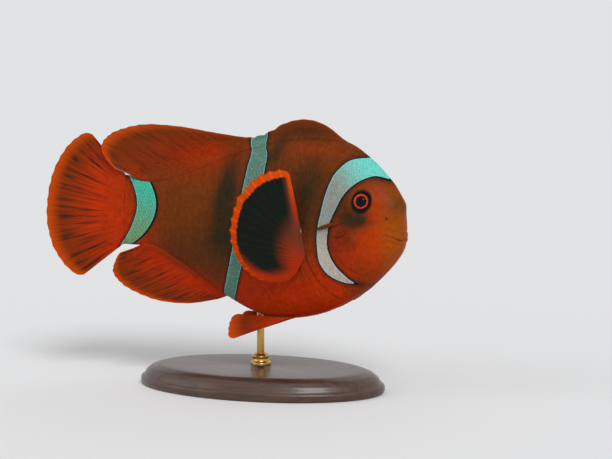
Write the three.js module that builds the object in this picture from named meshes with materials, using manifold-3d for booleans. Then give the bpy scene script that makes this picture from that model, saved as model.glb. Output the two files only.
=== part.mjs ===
// A spine-cheeked anemonefish at life size, swimming in a gentle turn to its right, on a display stand.
// Millimetres, +Z up, +X the way the fish swims, +Y its left. The origin is the centre of the base's underside.
//
// The fish is drawn straight first: a point is (station, side, height), where station runs back from the
// snout, side is positive on the left and height is above the mouth. `swim` then bends it along its path.
import * as THREE from "three";
import { mergeVertices } from "three/addons/utils/BufferGeometryUtils.js";
import Module from "manifold-3d";

const wasm = await Module();
wasm.setup();

// ---------------------------------------------------------------- driving dimensions
const BODY_LENGTH = 100; // snout to the root of the tail fin
const GAP = 0.3; // clearance between neighbouring pieces
const FINEST_DETAIL = 0.03; // slivers left by the cuts that are smaller than this are taken out

// Profiles by station. They run through these points, rounded at the snout.
const BACK = [[0, 0.8], [0.6, 9.4], [2, 14.0], [4, 17.0], [8, 20.8], [14, 25.4], [20, 28.8], [30, 30.2], [42, 29.2],
  [54, 26.2], [66, 21.8], [79, 16.4], [90, 13.4], [100, 14.2]];
const BELLY = [[0, -0.6], [0.6, -3.6], [2, -6.2], [6, -11.2], [12, -17.0], [20, -22.4], [30, -26.8], [41, -29.0],
  [52, -28.2], [64, -23.2], [78, -15.0], [90, -9.6], [100, -9.2]];
const HALF_WIDTH = [[0, 0], [0.6, 3.7], [2, 5.6], [4, 6.9], [8, 8.4], [14, 9.8], [22, 11.0], [34, 11.8], [50, 11.0],
  [64, 8.6], [80, 4.9], [91, 2.7], [100, 1.2]];
const WIDEST_HEIGHT = [[0, 0.4], [10, 2], [20, 1], [40, -1], [64, 0.5], [100, 2.6]];
const BACK_SHARPNESS = 1.12; // over 1 narrows the back to a ridge
const BELLY_SHARPNESS = 0.92; // under 1 fills the belly out

const BODY_STATIONS = 26;
const BODY_SIDES = 26;

// The turn: a straight head, one arc through the trunk and a straight tail fin.
const TURN = THREE.MathUtils.degToRad(24);
const TURN_START = 22;
const TURN_END = 104;
const NOSE_DOWN = THREE.MathUtils.degToRad(2.5);
const MOUTH_HEIGHT = 53; // of the mouth's level above the floor, at the rod

// The head ends on an arc about a point in the cheek. The gill cover lies between two such arcs.
const CHEEK = { station: 4.5, height: 1 };
const HEAD_REACH = 25.5;
const GILL_COVER = { inner: 16, up: THREE.MathUtils.degToRad(36), down: THREE.MathUtils.degToRad(-50), depth: 2.4 };
const TAIL_BASE_STATION = 84;
const MOUTH = { corner: 4.8, cornerHeight: 1, hinge: 12.5, hingeHeight: -7.5 };

const EYE = { station: 11.2, height: 11.6, radius: 3.1, bulge: 2.4, sunk: 1.2 };
const CHEEK_SPINES = [
  { from: [15, 5.0], to: [25.6, 2.1], root: 0.75, tip: 0.26 },
  { from: [13.8, 2.6], to: [19.2, -0.4], root: 0.6, tip: 0.26 },
  { from: [15.5, 4.9], to: [14, 2.4], root: 0.6, tip: 0.5 }, // the bone that both grow from
];

const ROD_STATION = 52;
const ROD = { radius: 1.2, intoBody: 7, intoBase: 4 };
const BASE = { length: 84, width: 50, thickness: 7 };
const COLLAR = { radius: 3.4, height: 4 };

// ---------------------------------------------------------------- curves and solids
// A smooth curve through [at, value] points, clamped at its ends. `warp` bends the scale that it runs on.
function curveThrough(points, warp = (at) => at) {
  const xs = points.map(([at]) => warp(at));
  const ys = points.map(([, value]) => value);
  const last = xs.length - 1;
  const secants = xs.slice(1).map((x, i) => (ys[i + 1] - ys[i]) / (x - xs[i]));
  const slopes = xs.map((x, i) => {
    if (i === 0) return secants[0];
    if (i === last) return secants[last - 1];
    return (secants[i - 1] * (xs[i + 1] - x) + secants[i] * (x - xs[i - 1])) / (xs[i + 1] - xs[i - 1]);
  });
  return (at) => {
    const x = THREE.MathUtils.clamp(warp(at), xs[0], xs[last]);
    const i = Math.min(xs.findLastIndex((start) => start <= x), last - 1);
    const span = xs[i + 1] - xs[i];
    const t = (x - xs[i]) / span;
    return ys[i] * (1 + 2 * t) * (1 - t) ** 2 + ys[i + 1] * t * t * (3 - 2 * t)
      + span * (slopes[i] * t * (1 - t) ** 2 + slopes[i + 1] * t * t * (t - 1));
  };
}

const rounded = (station) => Math.sqrt(Math.max(station, 0));
const back = curveThrough(BACK, rounded);
const belly = curveThrough(BELLY, rounded);
const halfWidth = curveThrough(HALF_WIDTH, rounded);
const widestHeight = curveThrough(WIDEST_HEIGHT);

// The skin at a station, at an angle round the section from -90 degrees at the belly to 90 at the back.
function skinPoint(station, angle, side) {
  const middle = widestHeight(station);
  const up = Math.sin(angle);
  const reach = up > 0 ? back(station) - middle : middle - belly(station);
  const sharpness = up > 0 ? BACK_SHARPNESS : BELLY_SHARPNESS;
  const width = halfWidth(station) * Math.max(Math.cos(angle), 0) ** sharpness;
  return new THREE.Vector3(station, side * width, middle + reach * up);
}

// How far out the skin lies at a station and height.
function skinSide(station, height) {
  const middle = widestHeight(station);
  const reach = height > middle ? back(station) - middle : middle - belly(station);
  const up = THREE.MathUtils.clamp((height - middle) / reach, -1, 1);
  return Math.abs(skinPoint(station, Math.asin(up), 1).y);
}

function skinNormal(station, height, side) {
  const step = 0.5;
  const along = (skinSide(station + step, height) - skinSide(station - step, height)) / (2 * step);
  const upward = (skinSide(station, height + step) - skinSide(station, height - step)) / (2 * step);
  return new THREE.Vector3(-along, side, -upward).normalize();
}

function meshOf(positions, index) {
  const geometry = new THREE.BufferGeometry();
  geometry.setAttribute("position", new THREE.Float32BufferAttribute(positions.flatMap((p) => [p.x, p.y, p.z]), 3));
  geometry.setIndex(index);
  return facingOut(geometry);
}

function signedVolume(geometry) {
  const at = geometry.getAttribute("position");
  const index = geometry.getIndex();
  const [a, b, c] = [new THREE.Vector3(), new THREE.Vector3(), new THREE.Vector3()];
  let sum = 0;
  for (let i = 0; i < index.count; i += 3) {
    a.fromBufferAttribute(at, index.getX(i));
    b.fromBufferAttribute(at, index.getX(i + 1));
    c.fromBufferAttribute(at, index.getX(i + 2));
    sum += a.dot(b.cross(c)) / 6;
  }
  return sum;
}

function facingOut(geometry) {
  if (signedVolume(geometry) < 0) geometry.setIndex([...geometry.getIndex().array].reverse());
  return geometry;
}

function solidOf(geometry) {
  const bare = geometry.clone();
  bare.deleteAttribute("normal");
  bare.deleteAttribute("uv");
  const merged = facingOut(mergeVertices(bare, 1e-4));
  return new wasm.Manifold(new wasm.Mesh({
    numProp: 3,
    vertProperties: merged.getAttribute("position").array,
    triVerts: new Uint32Array(merged.getIndex().array),
  }));
}

function geometryOf(solid) {
  const mesh = solid.getMesh();
  const geometry = new THREE.BufferGeometry();
  geometry.setAttribute("position", new THREE.BufferAttribute(new Float32Array(mesh.vertProperties), 3));
  geometry.setIndex(new THREE.BufferAttribute(new Uint32Array(mesh.triVerts), 1));
  return geometry;
}

// A closed tube of rings, each a list of points. The first and last rings are closed by fans.
function loftOf(rings) {
  const sides = rings[0].length;
  const positions = rings.flat();
  const index = [];
  for (let r = 0; r + 1 < rings.length; r++) {
    for (let s = 0; s < sides; s++) {
      const [a, b] = [r * sides + s, r * sides + (s + 1) % sides];
      index.push(a, b, a + sides, b, b + sides, a + sides);
    }
  }
  [0, rings.length - 1].forEach((r) => {
    const centre = rings[r].reduce((sum, p) => sum.add(p), new THREE.Vector3()).divideScalar(sides);
    positions.push(centre);
    for (let s = 0; s < sides; s++) {
      const [a, b] = [r * sides + s, r * sides + (s + 1) % sides];
      index.push(positions.length - 1, ...(r ? [a, b] : [b, a]));
    }
  });
  return meshOf(positions, index);
}

// ---------------------------------------------------------------- the swimming bend
const turnRate = TURN / (TURN_END - TURN_START);

function heading(station) {
  const share = THREE.MathUtils.clamp((station - TURN_START) / (TURN_END - TURN_START), 0, 1);
  return TURN * (share - 0.5);
}

// The spine's place at a station, before it is moved over the rod.
function spine(station) {
  const inTurn = THREE.MathUtils.clamp(station, TURN_START, TURN_END);
  const angle = heading(station);
  const beyond = station - inTurn;
  const x = -(Math.sin(angle) - Math.sin(-TURN / 2)) / turnRate - beyond * Math.cos(angle);
  const y = (Math.cos(angle) - Math.cos(TURN / 2)) / turnRate - beyond * Math.sin(angle);
  return new THREE.Vector2(x, y);
}

const overRod = spine(ROD_STATION);

function swim(point) {
  const at = spine(point.x).sub(overRod);
  const angle = heading(point.x);
  return new THREE.Vector3(at.x - point.y * Math.sin(angle), at.y + point.y * Math.cos(angle), point.z);
}

function swimming(geometry) {
  const at = geometry.getAttribute("position");
  const point = new THREE.Vector3();
  for (let i = 0; i < at.count; i++) {
    const moved = swim(point.fromBufferAttribute(at, i));
    at.setXYZ(i, moved.x, moved.y, moved.z);
  }
  return facingOut(geometry);
}

// ---------------------------------------------------------------- flesh
function fleshLoft(inset) {
  const rings = [];
  for (let i = 1; i <= BODY_STATIONS; i++) {
    const station = BODY_LENGTH * (i / BODY_STATIONS) ** 1.5;
    const ring = [];
    for (let j = 0; j < BODY_SIDES; j++) {
      const turn = (j / BODY_SIDES) * 2 * Math.PI;
      const angle = Math.asin(Math.sin(turn));
      const side = Math.cos(turn) < 0 ? -1 : 1;
      const point = skinPoint(station, angle, side);
      const scale = Math.max(1 - inset / Math.max(halfWidth(station), inset * 1.2), 0.1);
      point.y *= scale;
      ring.push(point);
    }
    rings.push(ring);
  }
  return loftOf(rings);
}

// A shape drawn in side view as (station, height), standing right through the fish.
function sideCutter(shape, reach = 40) {
  const geometry = new THREE.ExtrudeGeometry(shape, { depth: 2 * reach, bevelEnabled: false, curveSegments: 12 });
  return solidOf(geometry.rotateX(Math.PI / 2).translate(0, reach, 0));
}

function cheekDisc(radius) {
  const shape = new THREE.Shape();
  shape.absarc(CHEEK.station, CHEEK.height, radius, 0, 2 * Math.PI);
  return sideCutter(shape);
}

function behind(station) {
  const shape = new THREE.Shape();
  shape.moveTo(station, -60);
  shape.lineTo(BODY_LENGTH + 20, -60);
  shape.lineTo(BODY_LENGTH + 20, 60);
  shape.lineTo(station, 60);
  return sideCutter(shape);
}

function gillCoverSector(margin) {
  const { inner, up, down } = GILL_COVER;
  const shape = new THREE.Shape();
  const turn = margin / inner;
  shape.absarc(CHEEK.station, CHEEK.height, inner - margin, up + turn, down - turn, true);
  shape.absarc(CHEEK.station, CHEEK.height, HEAD_REACH + 6, down - turn, up + turn, false);
  return sideCutter(shape);
}

function jawCutter(margin) {
  const shape = new THREE.Shape();
  shape.moveTo(-4, 0.2 + margin);
  shape.lineTo(MOUTH.corner + margin, MOUTH.cornerHeight + margin);
  shape.lineTo(MOUTH.hinge + margin, MOUTH.hingeHeight);
  shape.lineTo(MOUTH.hinge - 3 + margin, -20);
  shape.lineTo(-4, -20);
  return sideCutter(shape);
}

function eyePlace(side) {
  const { station, height, sunk } = EYE;
  const normal = skinNormal(station, height, side);
  const place = new THREE.Vector3(station, side * skinSide(station, height), height).addScaledVector(normal, -sunk);
  const turn = new THREE.Quaternion().setFromUnitVectors(new THREE.Vector3(0, 0, 1), normal);
  return new THREE.Matrix4().compose(place, turn, new THREE.Vector3(1, 1, 1));
}

function eyeball(side, extra = 0) {
  const ball = new THREE.SphereGeometry(EYE.radius + extra, 16, 10);
  ball.scale(1, 1, (EYE.bulge + extra) / (EYE.radius + extra));
  return ball.applyMatrix4(eyePlace(side));
}

function flesh() {
  const whole = solidOf(fleshLoft(0));
  const core = solidOf(fleshLoft(GILL_COVER.depth));
  const coreUnderGap = solidOf(fleshLoft(GILL_COVER.depth + GAP));
  const left = sideCutter(new THREE.Shape().absarc(20, 0, 90, 0, 2 * Math.PI), 20)
    .translate([0, 20, 0]);
  const sockets = solidOf(eyeball(1, GAP)).add(solidOf(eyeball(-1, GAP)));

  const wholeHead = whole.intersect(cheekDisc(HEAD_REACH)).subtract(sockets);
  const covers = wholeHead.intersect(gillCoverSector(0)).subtract(core);
  const skull = wholeHead.subtract(gillCoverSector(GAP).subtract(coreUnderGap));
  const rest = whole.subtract(cheekDisc(HEAD_REACH + GAP));
  return {
    head: skull.subtract(jawCutter(GAP)),
    lower_jaw: skull.intersect(jawCutter(0)),
    gill_cover_left: covers.intersect(left),
    gill_cover_right: covers.subtract(left),
    trunk: rest.subtract(behind(TAIL_BASE_STATION)),
    tail_base: rest.intersect(behind(TAIL_BASE_STATION + GAP)),
  };
}

// ---------------------------------------------------------------- fins
// A fin is a thin solid. `place(along, out)` gives its middle surface, from its first ray to its last and from
// its root to its edge. Rays stand up from the membrane, which is cut back between their tips.
function finSolid({ rays, rows = 3, place, face, root, edge, notch }) {
  const columns = 2 * (rays - 1);
  const sheets = [[], []];
  for (let i = 0; i <= columns; i++) {
    const onRay = i % 2 === 0;
    for (let j = 0; j <= rows; j++) {
      const out = j / rows;
      const middle = place(i / columns, out * (onRay ? 1 : 1 - notch));
      const half = 0.5 * THREE.MathUtils.lerp(root, edge, out) * (onRay ? 1 : 0.62);
      const normal = face(i / columns, out);
      sheets[0].push(middle.clone().addScaledVector(normal, half));
      sheets[1].push(middle.clone().addScaledVector(normal, -half));
    }
  }
  const stride = rows + 1;
  const other = sheets[0].length;
  const index = [];
  const quad = (a, b, c, d) => index.push(a, b, c, a, c, d);
  for (let i = 0; i < columns; i++) {
    for (let j = 0; j < rows; j++) {
      const a = i * stride + j;
      quad(a, a + stride, a + stride + 1, a + 1);
      quad(other + a, other + a + 1, other + a + stride + 1, other + a + stride);
    }
    const [low, high] = [i * stride, i * stride + rows];
    quad(low, other + low, other + low + stride, low + stride);
    quad(high, high + stride, other + high + stride, other + high);
  }
  for (let j = 0; j < rows; j++) {
    const last = columns * stride + j;
    quad(j, j + 1, other + j + 1, other + j);
    quad(last, other + last, other + last + 1, last + 1);
  }
  return meshOf(sheets.flat(), index);
}

const sideways = () => new THREE.Vector3(0, 1, 0);

// A fin on the midline. Its root follows the body and its edge runs through the points given by ray.
function midlineFin({ from, to, edgeStation, edgeHeight, profile, side, swept = 0, ...rest }) {
  const station = curveThrough(edgeStation);
  const height = curveThrough(edgeHeight);
  return finSolid({
    face: sideways,
    ...rest,
    place: (along, out) => {
      const root = THREE.MathUtils.lerp(from, to, along);
      const rootHeight = profile(root) + side * GAP;
      const lean = out ** 1.25; // rays curve back
      return new THREE.Vector3(
        THREE.MathUtils.lerp(root, station(along), lean),
        -swept * along ** 2 * out,
        THREE.MathUtils.lerp(rootHeight, height(along), out),
      );
    },
  });
}

const DORSAL_SPINY = {
  rays: 10, from: 20.5, to: 54, profile: back, side: 1, root: 1.3, edge: 0.85, notch: 0.12,
  edgeStation: [[0, 22.5], [0.5, 40], [1, 57.5]],
  edgeHeight: [[0, 30.8], [0.2, 34.3], [0.42, 35.7], [0.62, 34.1], [0.82, 30.2], [1, 28.8]],
};
const DORSAL_SOFT = {
  rays: 17, from: 54.8, to: 96, profile: back, side: 1, root: 1.1, edge: 0.85, notch: 0.03, swept: 3,
  edgeStation: [[0, 59], [0.4, 80], [0.62, 95], [0.85, 108.4], [1, 104]],
  edgeHeight: [[0, 28.4], [0.2, 29.8], [0.42, 31.2], [0.6, 31.4], [0.85, 25], [1, 16.6]],
};
const ANAL = {
  rays: 15, from: 62, to: 93, profile: belly, side: -1, root: 1.1, edge: 0.85, notch: 0.03, swept: 2,
  edgeStation: [[0, 67], [0.35, 83], [0.62, 96], [0.85, 103.6], [1, 101.5]],
  edgeHeight: [[0, -25.6], [0.2, -27.6], [0.42, -27.6], [0.62, -25], [0.85, -18.8], [1, -12.2]],
};

// The tail fin fans out from the tail base and is rounded behind.
const TAIL_FIN = {
  rays: 17, length: 27, spread: THREE.MathUtils.degToRad(44), tilt: THREE.MathUtils.degToRad(4),
  root: 1.4, edge: 0.85,
};

function tailFin() {
  const { rays, length, spread, tilt, root, edge } = TAIL_FIN;
  const station = BODY_LENGTH + GAP;
  return finSolid({
    rays, root, edge, notch: 0.03, rows: 4, face: sideways,
    place: (along, out) => {
      const fan = THREE.MathUtils.lerp(spread, -spread, along);
      const start = THREE.MathUtils.lerp(back(BODY_LENGTH), belly(BODY_LENGTH), along);
      const reach = length * (1 - 0.3 * Math.abs(fan / spread) ** 2.4);
      return new THREE.Vector3(
        station + reach * out * Math.cos(fan + tilt),
        0.9 * Math.sin(2 * Math.PI * along) * out * out,
        start + reach * out * Math.sin(fan + tilt),
      );
    },
  });
}

// Each paired fin is drawn in a plane of its own: `aft` runs back and outwards, `up` runs up along the root.
function planeAxes(side, outward, lean) {
  const aft = new THREE.Vector3(Math.cos(outward), side * Math.sin(outward), 0);
  const up = new THREE.Vector3(-Math.sin(lean), 0, Math.cos(lean)).projectOnPlane(
    new THREE.Vector3().crossVectors(aft, new THREE.Vector3(0, 0, 1))).normalize();
  return { aft, up, face: new THREE.Vector3().crossVectors(aft, up).normalize() };
}

const PECTORAL = {
  rays: 17, station: 29.9, top: 1, rootHeight: 13.4, rootSlant: 2, lean: 0.05, centre: [7.5, 1.5], reach: [17, 18.2],
  outward: THREE.MathUtils.degToRad(27), from: THREE.MathUtils.degToRad(95), to: THREE.MathUtils.degToRad(-105),
  cup: 1.6, tuck: 2.2, root: 1.5, edge: 0.85,
};

function pectoralFin(side) {
  const { rays, station, top, rootHeight, rootSlant, outward, lean, centre, reach } = PECTORAL;
  const { from, to, cup, tuck, root, edge } = PECTORAL;
  const { aft, up, face } = planeAxes(side, outward, lean);
  const rootAt = (along) => {
    const height = top - along * rootHeight;
    const at = station + rootSlant * along;
    return new THREE.Vector3(at, side * (skinSide(at, height) + 1.1), height);
  };
  const start = rootAt(0);
  return finSolid({
    rays, root, edge, notch: 0.04, rows: 4,
    face: () => face,
    place: (along, out) => {
      const turn = THREE.MathUtils.lerp(from, to, along);
      const tip = start.clone()
        .addScaledVector(aft, centre[0] + reach[0] * Math.cos(turn))
        .addScaledVector(up, centre[1] + reach[1] * Math.sin(turn));
      const cupped = cup * Math.sin(Math.PI * along) * out * out - tuck * along ** 3 * out;
      return rootAt(along).lerp(tip, out).addScaledVector(face, -side * cupped);
    },
  });
}

// The pelvic rays fan from the first, which slants furthest down, to the last, along the belly.
const PELVIC = {
  rays: 6, station: 37.5, rootLength: 4, angle: THREE.MathUtils.degToRad(-74), length: 23, shortening: 0.26,
  from: THREE.MathUtils.degToRad(25), to: THREE.MathUtils.degToRad(1), splay: 0.42, root: 1.4, edge: 0.85,
};

function pelvicFin(side) {
  const { rays, station, rootLength, angle, length, shortening, from, to, splay, root, edge } = PELVIC;
  const down = new THREE.Vector3(0, side * splay, -1).normalize();
  const face = new THREE.Vector3(1, 0, 0).cross(down);
  return finSolid({
    rays, root, edge, notch: 0.06, rows: 4,
    face: () => face,
    place: (along, out) => {
      const start = skinPoint(station + rootLength * along, angle, side).addScaledVector(down, 2.4 * GAP);
      const turn = THREE.MathUtils.lerp(from, to, along);
      const reach = length * (1 - shortening * along ** 1.4) * out;
      return start.add(new THREE.Vector3(reach * Math.cos(turn), 0, 0)).addScaledVector(down, reach * Math.sin(turn));
    },
  });
}

// ---------------------------------------------------------------- cheek spines
function cheekSpine({ from, to, root, tip }, side) {
  const steps = 5;
  const sides = 8;
  const rings = [];
  for (let i = 0; i <= steps; i++) {
    const share = i / steps;
    const station = THREE.MathUtils.lerp(from[0], to[0], share);
    const height = THREE.MathUtils.lerp(from[1], to[1], share) - 0.5 * Math.sin(Math.PI * share);
    const radius = THREE.MathUtils.lerp(root, tip, share);
    const normal = skinNormal(station, height, side);
    const centre = new THREE.Vector3(station, side * skinSide(station, height), height)
      .addScaledVector(normal, radius + 1.4 * GAP);
    const across = new THREE.Vector3().crossVectors(normal, new THREE.Vector3(1, 0, 0)).normalize();
    rings.push(Array.from({ length: sides }, (_, k) => {
      const turn = (k / sides) * 2 * Math.PI;
      return centre.clone()
        .addScaledVector(normal, radius * Math.cos(turn))
        .addScaledVector(across, radius * Math.sin(turn));
    }));
  }
  return loftOf(rings);
}

function cheekSpines(side) {
  return geometryOf(wasm.Manifold.union(CHEEK_SPINES.map((spec) => solidOf(cheekSpine(spec, side)))));
}

// ---------------------------------------------------------------- stand
function turned(points, segments) {
  return new THREE.LatheGeometry(points.map(([r, z]) => new THREE.Vector2(r, z)), segments).rotateX(Math.PI / 2);
}

function standBase() {
  const { length, width, thickness } = BASE;
  const r = length / 2;
  const profile = [[0, 0], [r - 0.8, 0], [r, 0.8], [r, 2.4], [r - 1.2, 3.2], [r - 2, 4.6], [r - 3.8, 6], [r - 6.4, 6.8],
    [r - 8, thickness], [0, thickness]];
  const plinth = turned(profile, 40).scale(1, width / length, 1);
  const socket = new THREE.CylinderGeometry(ROD.radius + GAP, ROD.radius + GAP, 10, 24).rotateX(Math.PI / 2);
  socket.translate(0, 0, thickness - ROD.intoBase + 5);
  return geometryOf(solidOf(plinth).subtract(solidOf(socket)));
}

function standCollar() {
  const { radius, height } = COLLAR;
  const bore = ROD.radius + GAP;
  const profile = [[bore, 0], [radius, 0], [radius, 1], [radius - 0.7, 1.5], [radius - 0.9, 2.4], [radius - 0.4, 3],
    [bore + 0.5, height], [bore, height], [bore, 0]];
  return turned(profile, 24);
}

// ---------------------------------------------------------------- the model
const COLOURS = {
  flank: [0x8f2f0a, 0.42], face: [0xa34208, 0.42], fin: [0xa83406, 0.5], pectoral: [0x1c2119, 0.5],
  eye: [0x141a18, 0.1], spine: [0x6b2a10, 0.4], wood: [0x2c1a10, 0.35], brass: [0xb08d4a, 0.3],
};

function materialOf(name) {
  const [color, roughness] = COLOURS[name];
  return new THREE.MeshStandardMaterial({ color, roughness, metalness: name === "brass" ? 1 : 0 });
}

function piece(name, geometry, colour) {
  const mesh = new THREE.Mesh(geometry, materialOf(colour));
  mesh.name = name;
  return mesh;
}

const fish = new THREE.Group();
fish.rotation.y = NOSE_DOWN;
fish.position.z = MOUTH_HEIGHT;
fish.updateMatrix();

function rodSocket() {
  const bore = new THREE.CylinderGeometry(ROD.radius + GAP, ROD.radius + GAP, 60, 24).rotateX(Math.PI / 2);
  bore.translate(0, 0, rodTop() + GAP - 30);
  return solidOf(bore.applyMatrix4(fish.matrix.clone().invert()));
}

function rodTop() {
  return MOUTH_HEIGHT + belly(ROD_STATION) + ROD.intoBody;
}

function addFlesh() {
  for (const [name, solid] of Object.entries(flesh())) {
    const bent = swimming(geometryOf(solid.simplify(FINEST_DETAIL)));
    const geometry = name === "trunk" ? geometryOf(solidOf(bent).subtract(rodSocket())) : bent;
    fish.add(piece(name, geometry, ["trunk", "tail_base"].includes(name) ? "flank" : "face"));
  }
}

function addFins() {
  fish.add(piece("dorsal_fin_spiny", swimming(midlineFin(DORSAL_SPINY)), "fin"));
  fish.add(piece("dorsal_fin_soft", swimming(midlineFin(DORSAL_SOFT)), "fin"));
  fish.add(piece("anal_fin", swimming(midlineFin(ANAL)), "fin"));
  fish.add(piece("tail_fin", swimming(tailFin()), "fin"));
}

function addPairs() {
  for (const [name, side] of [["left", 1], ["right", -1]]) {
    fish.add(piece(`eye_${name}`, swimming(eyeball(side)), "eye"));
    fish.add(piece(`pectoral_fin_${name}`, swimming(pectoralFin(side)), "pectoral"));
    fish.add(piece(`pelvic_fin_${name}`, swimming(pelvicFin(side)), "fin"));
    fish.add(piece(`cheek_spines_${name}`, swimming(cheekSpines(side)), "spine"));
  }
}

function stand() {
  const group = new THREE.Group();
  const rodFoot = BASE.thickness - ROD.intoBase + GAP;
  const rod = piece("stand_rod",
    new THREE.CylinderGeometry(ROD.radius, ROD.radius, rodTop() - rodFoot, 24).rotateX(Math.PI / 2), "brass");
  rod.position.z = (rodTop() + rodFoot) / 2;
  const collar = piece("stand_collar", standCollar(), "brass");
  collar.position.z = BASE.thickness + GAP;
  group.add(piece("stand_base", standBase(), "wood"), rod, collar);
  return group;
}

addFlesh();
addFins();
addPairs();

const model = new THREE.Group();
model.add(fish, stand());

export default model;
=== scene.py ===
"""A spine-cheeked anemonefish at life size, swimming over a small display stand.

The fish is worked out straight, in millimetres, as (station, side, height): station runs back from the
snout, side is positive on the fish's left, and height is above the mouth. `swim` bends it along its path
and sets it over the stand, in metres. The skin is one closed surface, and the scales lie on it.
"""
import math

import bpy
import numpy as np
from bpy.props import FloatProperty, FloatVectorProperty, IntProperty, PointerProperty
from mathutils import Matrix, Vector


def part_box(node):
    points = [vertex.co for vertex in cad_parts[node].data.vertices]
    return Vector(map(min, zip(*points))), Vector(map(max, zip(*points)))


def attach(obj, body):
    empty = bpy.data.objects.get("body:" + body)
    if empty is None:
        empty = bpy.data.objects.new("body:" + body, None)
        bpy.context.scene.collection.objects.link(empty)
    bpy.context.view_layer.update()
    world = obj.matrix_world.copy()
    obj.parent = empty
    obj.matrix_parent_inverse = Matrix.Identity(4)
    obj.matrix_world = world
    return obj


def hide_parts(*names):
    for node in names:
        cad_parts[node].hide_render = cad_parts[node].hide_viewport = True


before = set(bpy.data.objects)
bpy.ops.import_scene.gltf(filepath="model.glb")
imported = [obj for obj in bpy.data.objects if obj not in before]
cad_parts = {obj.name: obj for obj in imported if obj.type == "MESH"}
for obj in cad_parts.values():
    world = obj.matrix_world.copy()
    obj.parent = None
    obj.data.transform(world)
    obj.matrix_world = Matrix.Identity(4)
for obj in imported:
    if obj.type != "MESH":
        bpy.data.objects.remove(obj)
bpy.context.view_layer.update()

bl_info = {
    "name": "Spine-cheeked anemonefish",
    "version": (1, 0, 0),
    "blender": (4, 5, 0),
    "location": "3D View > Sidebar > Anemonefish",
    "description": "Builds the skin, scales, fins, eyes and stand of a swimming anemonefish",
    "category": "Add Mesh",
}

MM = 0.001
SIDES = ((1, "left"), (-1, "right"))


def srgb(red, green, blue):
    """A display colour, each part from 0 to 255, as linear light."""
    return tuple(((c / 255 + 0.055) / 1.055) ** 2.4 for c in (red, green, blue))


def colour(name, of, display):
    """A colour setting, its default given as display values from 0 to 255."""
    return FloatVectorProperty(name=name, description=f"Colour of {of}", default=srgb(*display),
                               size=3, min=0, max=1, subtype="COLOR")


def real(name, description, default, **kind):
    return FloatProperty(name=name, description=description, default=default, **kind)


def length(name, description, millimetres):
    return real(name, description, millimetres * MM, min=0, unit="LENGTH", precision=5)


def smooth(value, low, high):
    """0 below low, 1 above high and a smooth step between."""
    t = np.clip((value - low) / (high - low), 0, 1)
    return t * t * (3 - 2 * t)


def bump(distance, width):
    return np.exp(-((distance / width) ** 2))


def mix(a, b, share):
    return a + (b - a) * share


def unit(vectors):
    """The same vectors at length 1."""
    vectors = np.asarray(vectors, float)
    return vectors / np.maximum(np.linalg.norm(vectors, axis=-1, keepdims=True), 1e-12)


def joined(*parts):
    """Vectors from their parts, each a number or an array."""
    return np.stack(np.broadcast_arrays(*parts), -1)


def turns(count):
    """Angles in even steps once round."""
    return np.arange(count) / count * 2 * math.pi


def away_from(centre, station, height, reach=(1, 1)):
    """Distance from a centre in side view, along and up each counted in reaches."""
    return np.hypot((station - centre[0]) / reach[0], (height - centre[1]) / reach[1])


def polar(centre, station, height):
    """Distance from a centre in side view, and the angle there in degrees: 0 is straight back, 90 up."""
    angle = np.degrees(np.arctan2(height - centre[1], station - centre[0]))
    return away_from(centre, station, height), angle


def clouds(station, height, places):
    """The sum of soft clouds, each (station, height, how far along, how far up, amount)."""
    return sum(amount * bump(away_from((at, up), station, height, reach), 1)
               for at, up, *reach, amount in places)


# ---------------------------------------------------------------- the straight fish
BODY_LENGTH = 100
BACK = [(0, 0.8), (0.6, 9.4), (2, 14.0), (4, 17.0), (8, 20.8), (14, 25.4), (20, 28.8), (30, 30.2),
        (42, 29.2), (54, 26.2), (66, 21.8), (79, 16.4), (90, 13.4), (100, 14.2)]
BELLY = [(0, -0.6), (0.6, -3.6), (2, -6.2), (6, -11.2), (12, -17.0), (20, -22.4), (30, -26.8), (41, -29.0),
         (52, -28.2), (64, -23.2), (78, -15.0), (90, -9.6), (100, -9.2)]
HALF_WIDTH = [(0, 0), (0.6, 3.7), (2, 5.6), (4, 6.9), (8, 8.4), (14, 9.8), (22, 11.0), (34, 11.8),
              (50, 11.0), (64, 8.6), (80, 4.9), (91, 2.7), (100, 1.2)]
WIDEST_HEIGHT = [(0, 0.4), (10, 2), (20, 1), (40, -1), (64, 0.5), (100, 2.6)]
BACK_SHARPNESS = 1.12
BELLY_SHARPNESS = 0.92

TURN = math.radians(24)
TURN_START = 22
TURN_END = 104
NOSE_DOWN = math.radians(2.5)
MOUTH_HEIGHT = 53
ROD_STATION = 52


def curve_through(points, warp=lambda at: at):
    """A smooth curve through (at, value) points, clamped at its ends. warp bends the scale it runs on."""
    xs = warp(np.array([at for at, _ in points], float))
    ys = np.array([value for _, value in points], float)
    spans = np.diff(xs)
    secants = np.diff(ys) / spans
    inner = (secants[:-1] * spans[1:] + secants[1:] * spans[:-1]) / (spans[:-1] + spans[1:])
    slopes = np.concatenate([secants[:1], inner, secants[-1:]])

    def curve(at):
        x = np.clip(warp(np.asarray(at, float)), xs[0], xs[-1])
        i = np.clip(np.searchsorted(xs, x, side="right") - 1, 0, len(xs) - 2)
        t = (x - xs[i]) / spans[i]
        return (ys[i] * (1 + 2 * t) * (1 - t) ** 2 + ys[i + 1] * t * t * (3 - 2 * t)
                + spans[i] * (slopes[i] * t * (1 - t) ** 2 + slopes[i + 1] * t * t * (t - 1)))

    return curve


def rounded(station):
    return np.sqrt(np.maximum(station, 0))


back = curve_through(BACK, rounded)
belly = curve_through(BELLY, rounded)
half_width = curve_through(HALF_WIDTH, rounded)
widest_height = curve_through(WIDEST_HEIGHT)


def half_section(station, above):
    """A section's widest height, its reach from there to the back or belly, and how sharply it closes."""
    middle = widest_height(station)
    reach = np.where(above, back(station) - middle, middle - belly(station))
    return middle, reach, np.where(above, BACK_SHARPNESS, BELLY_SHARPNESS)


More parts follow.
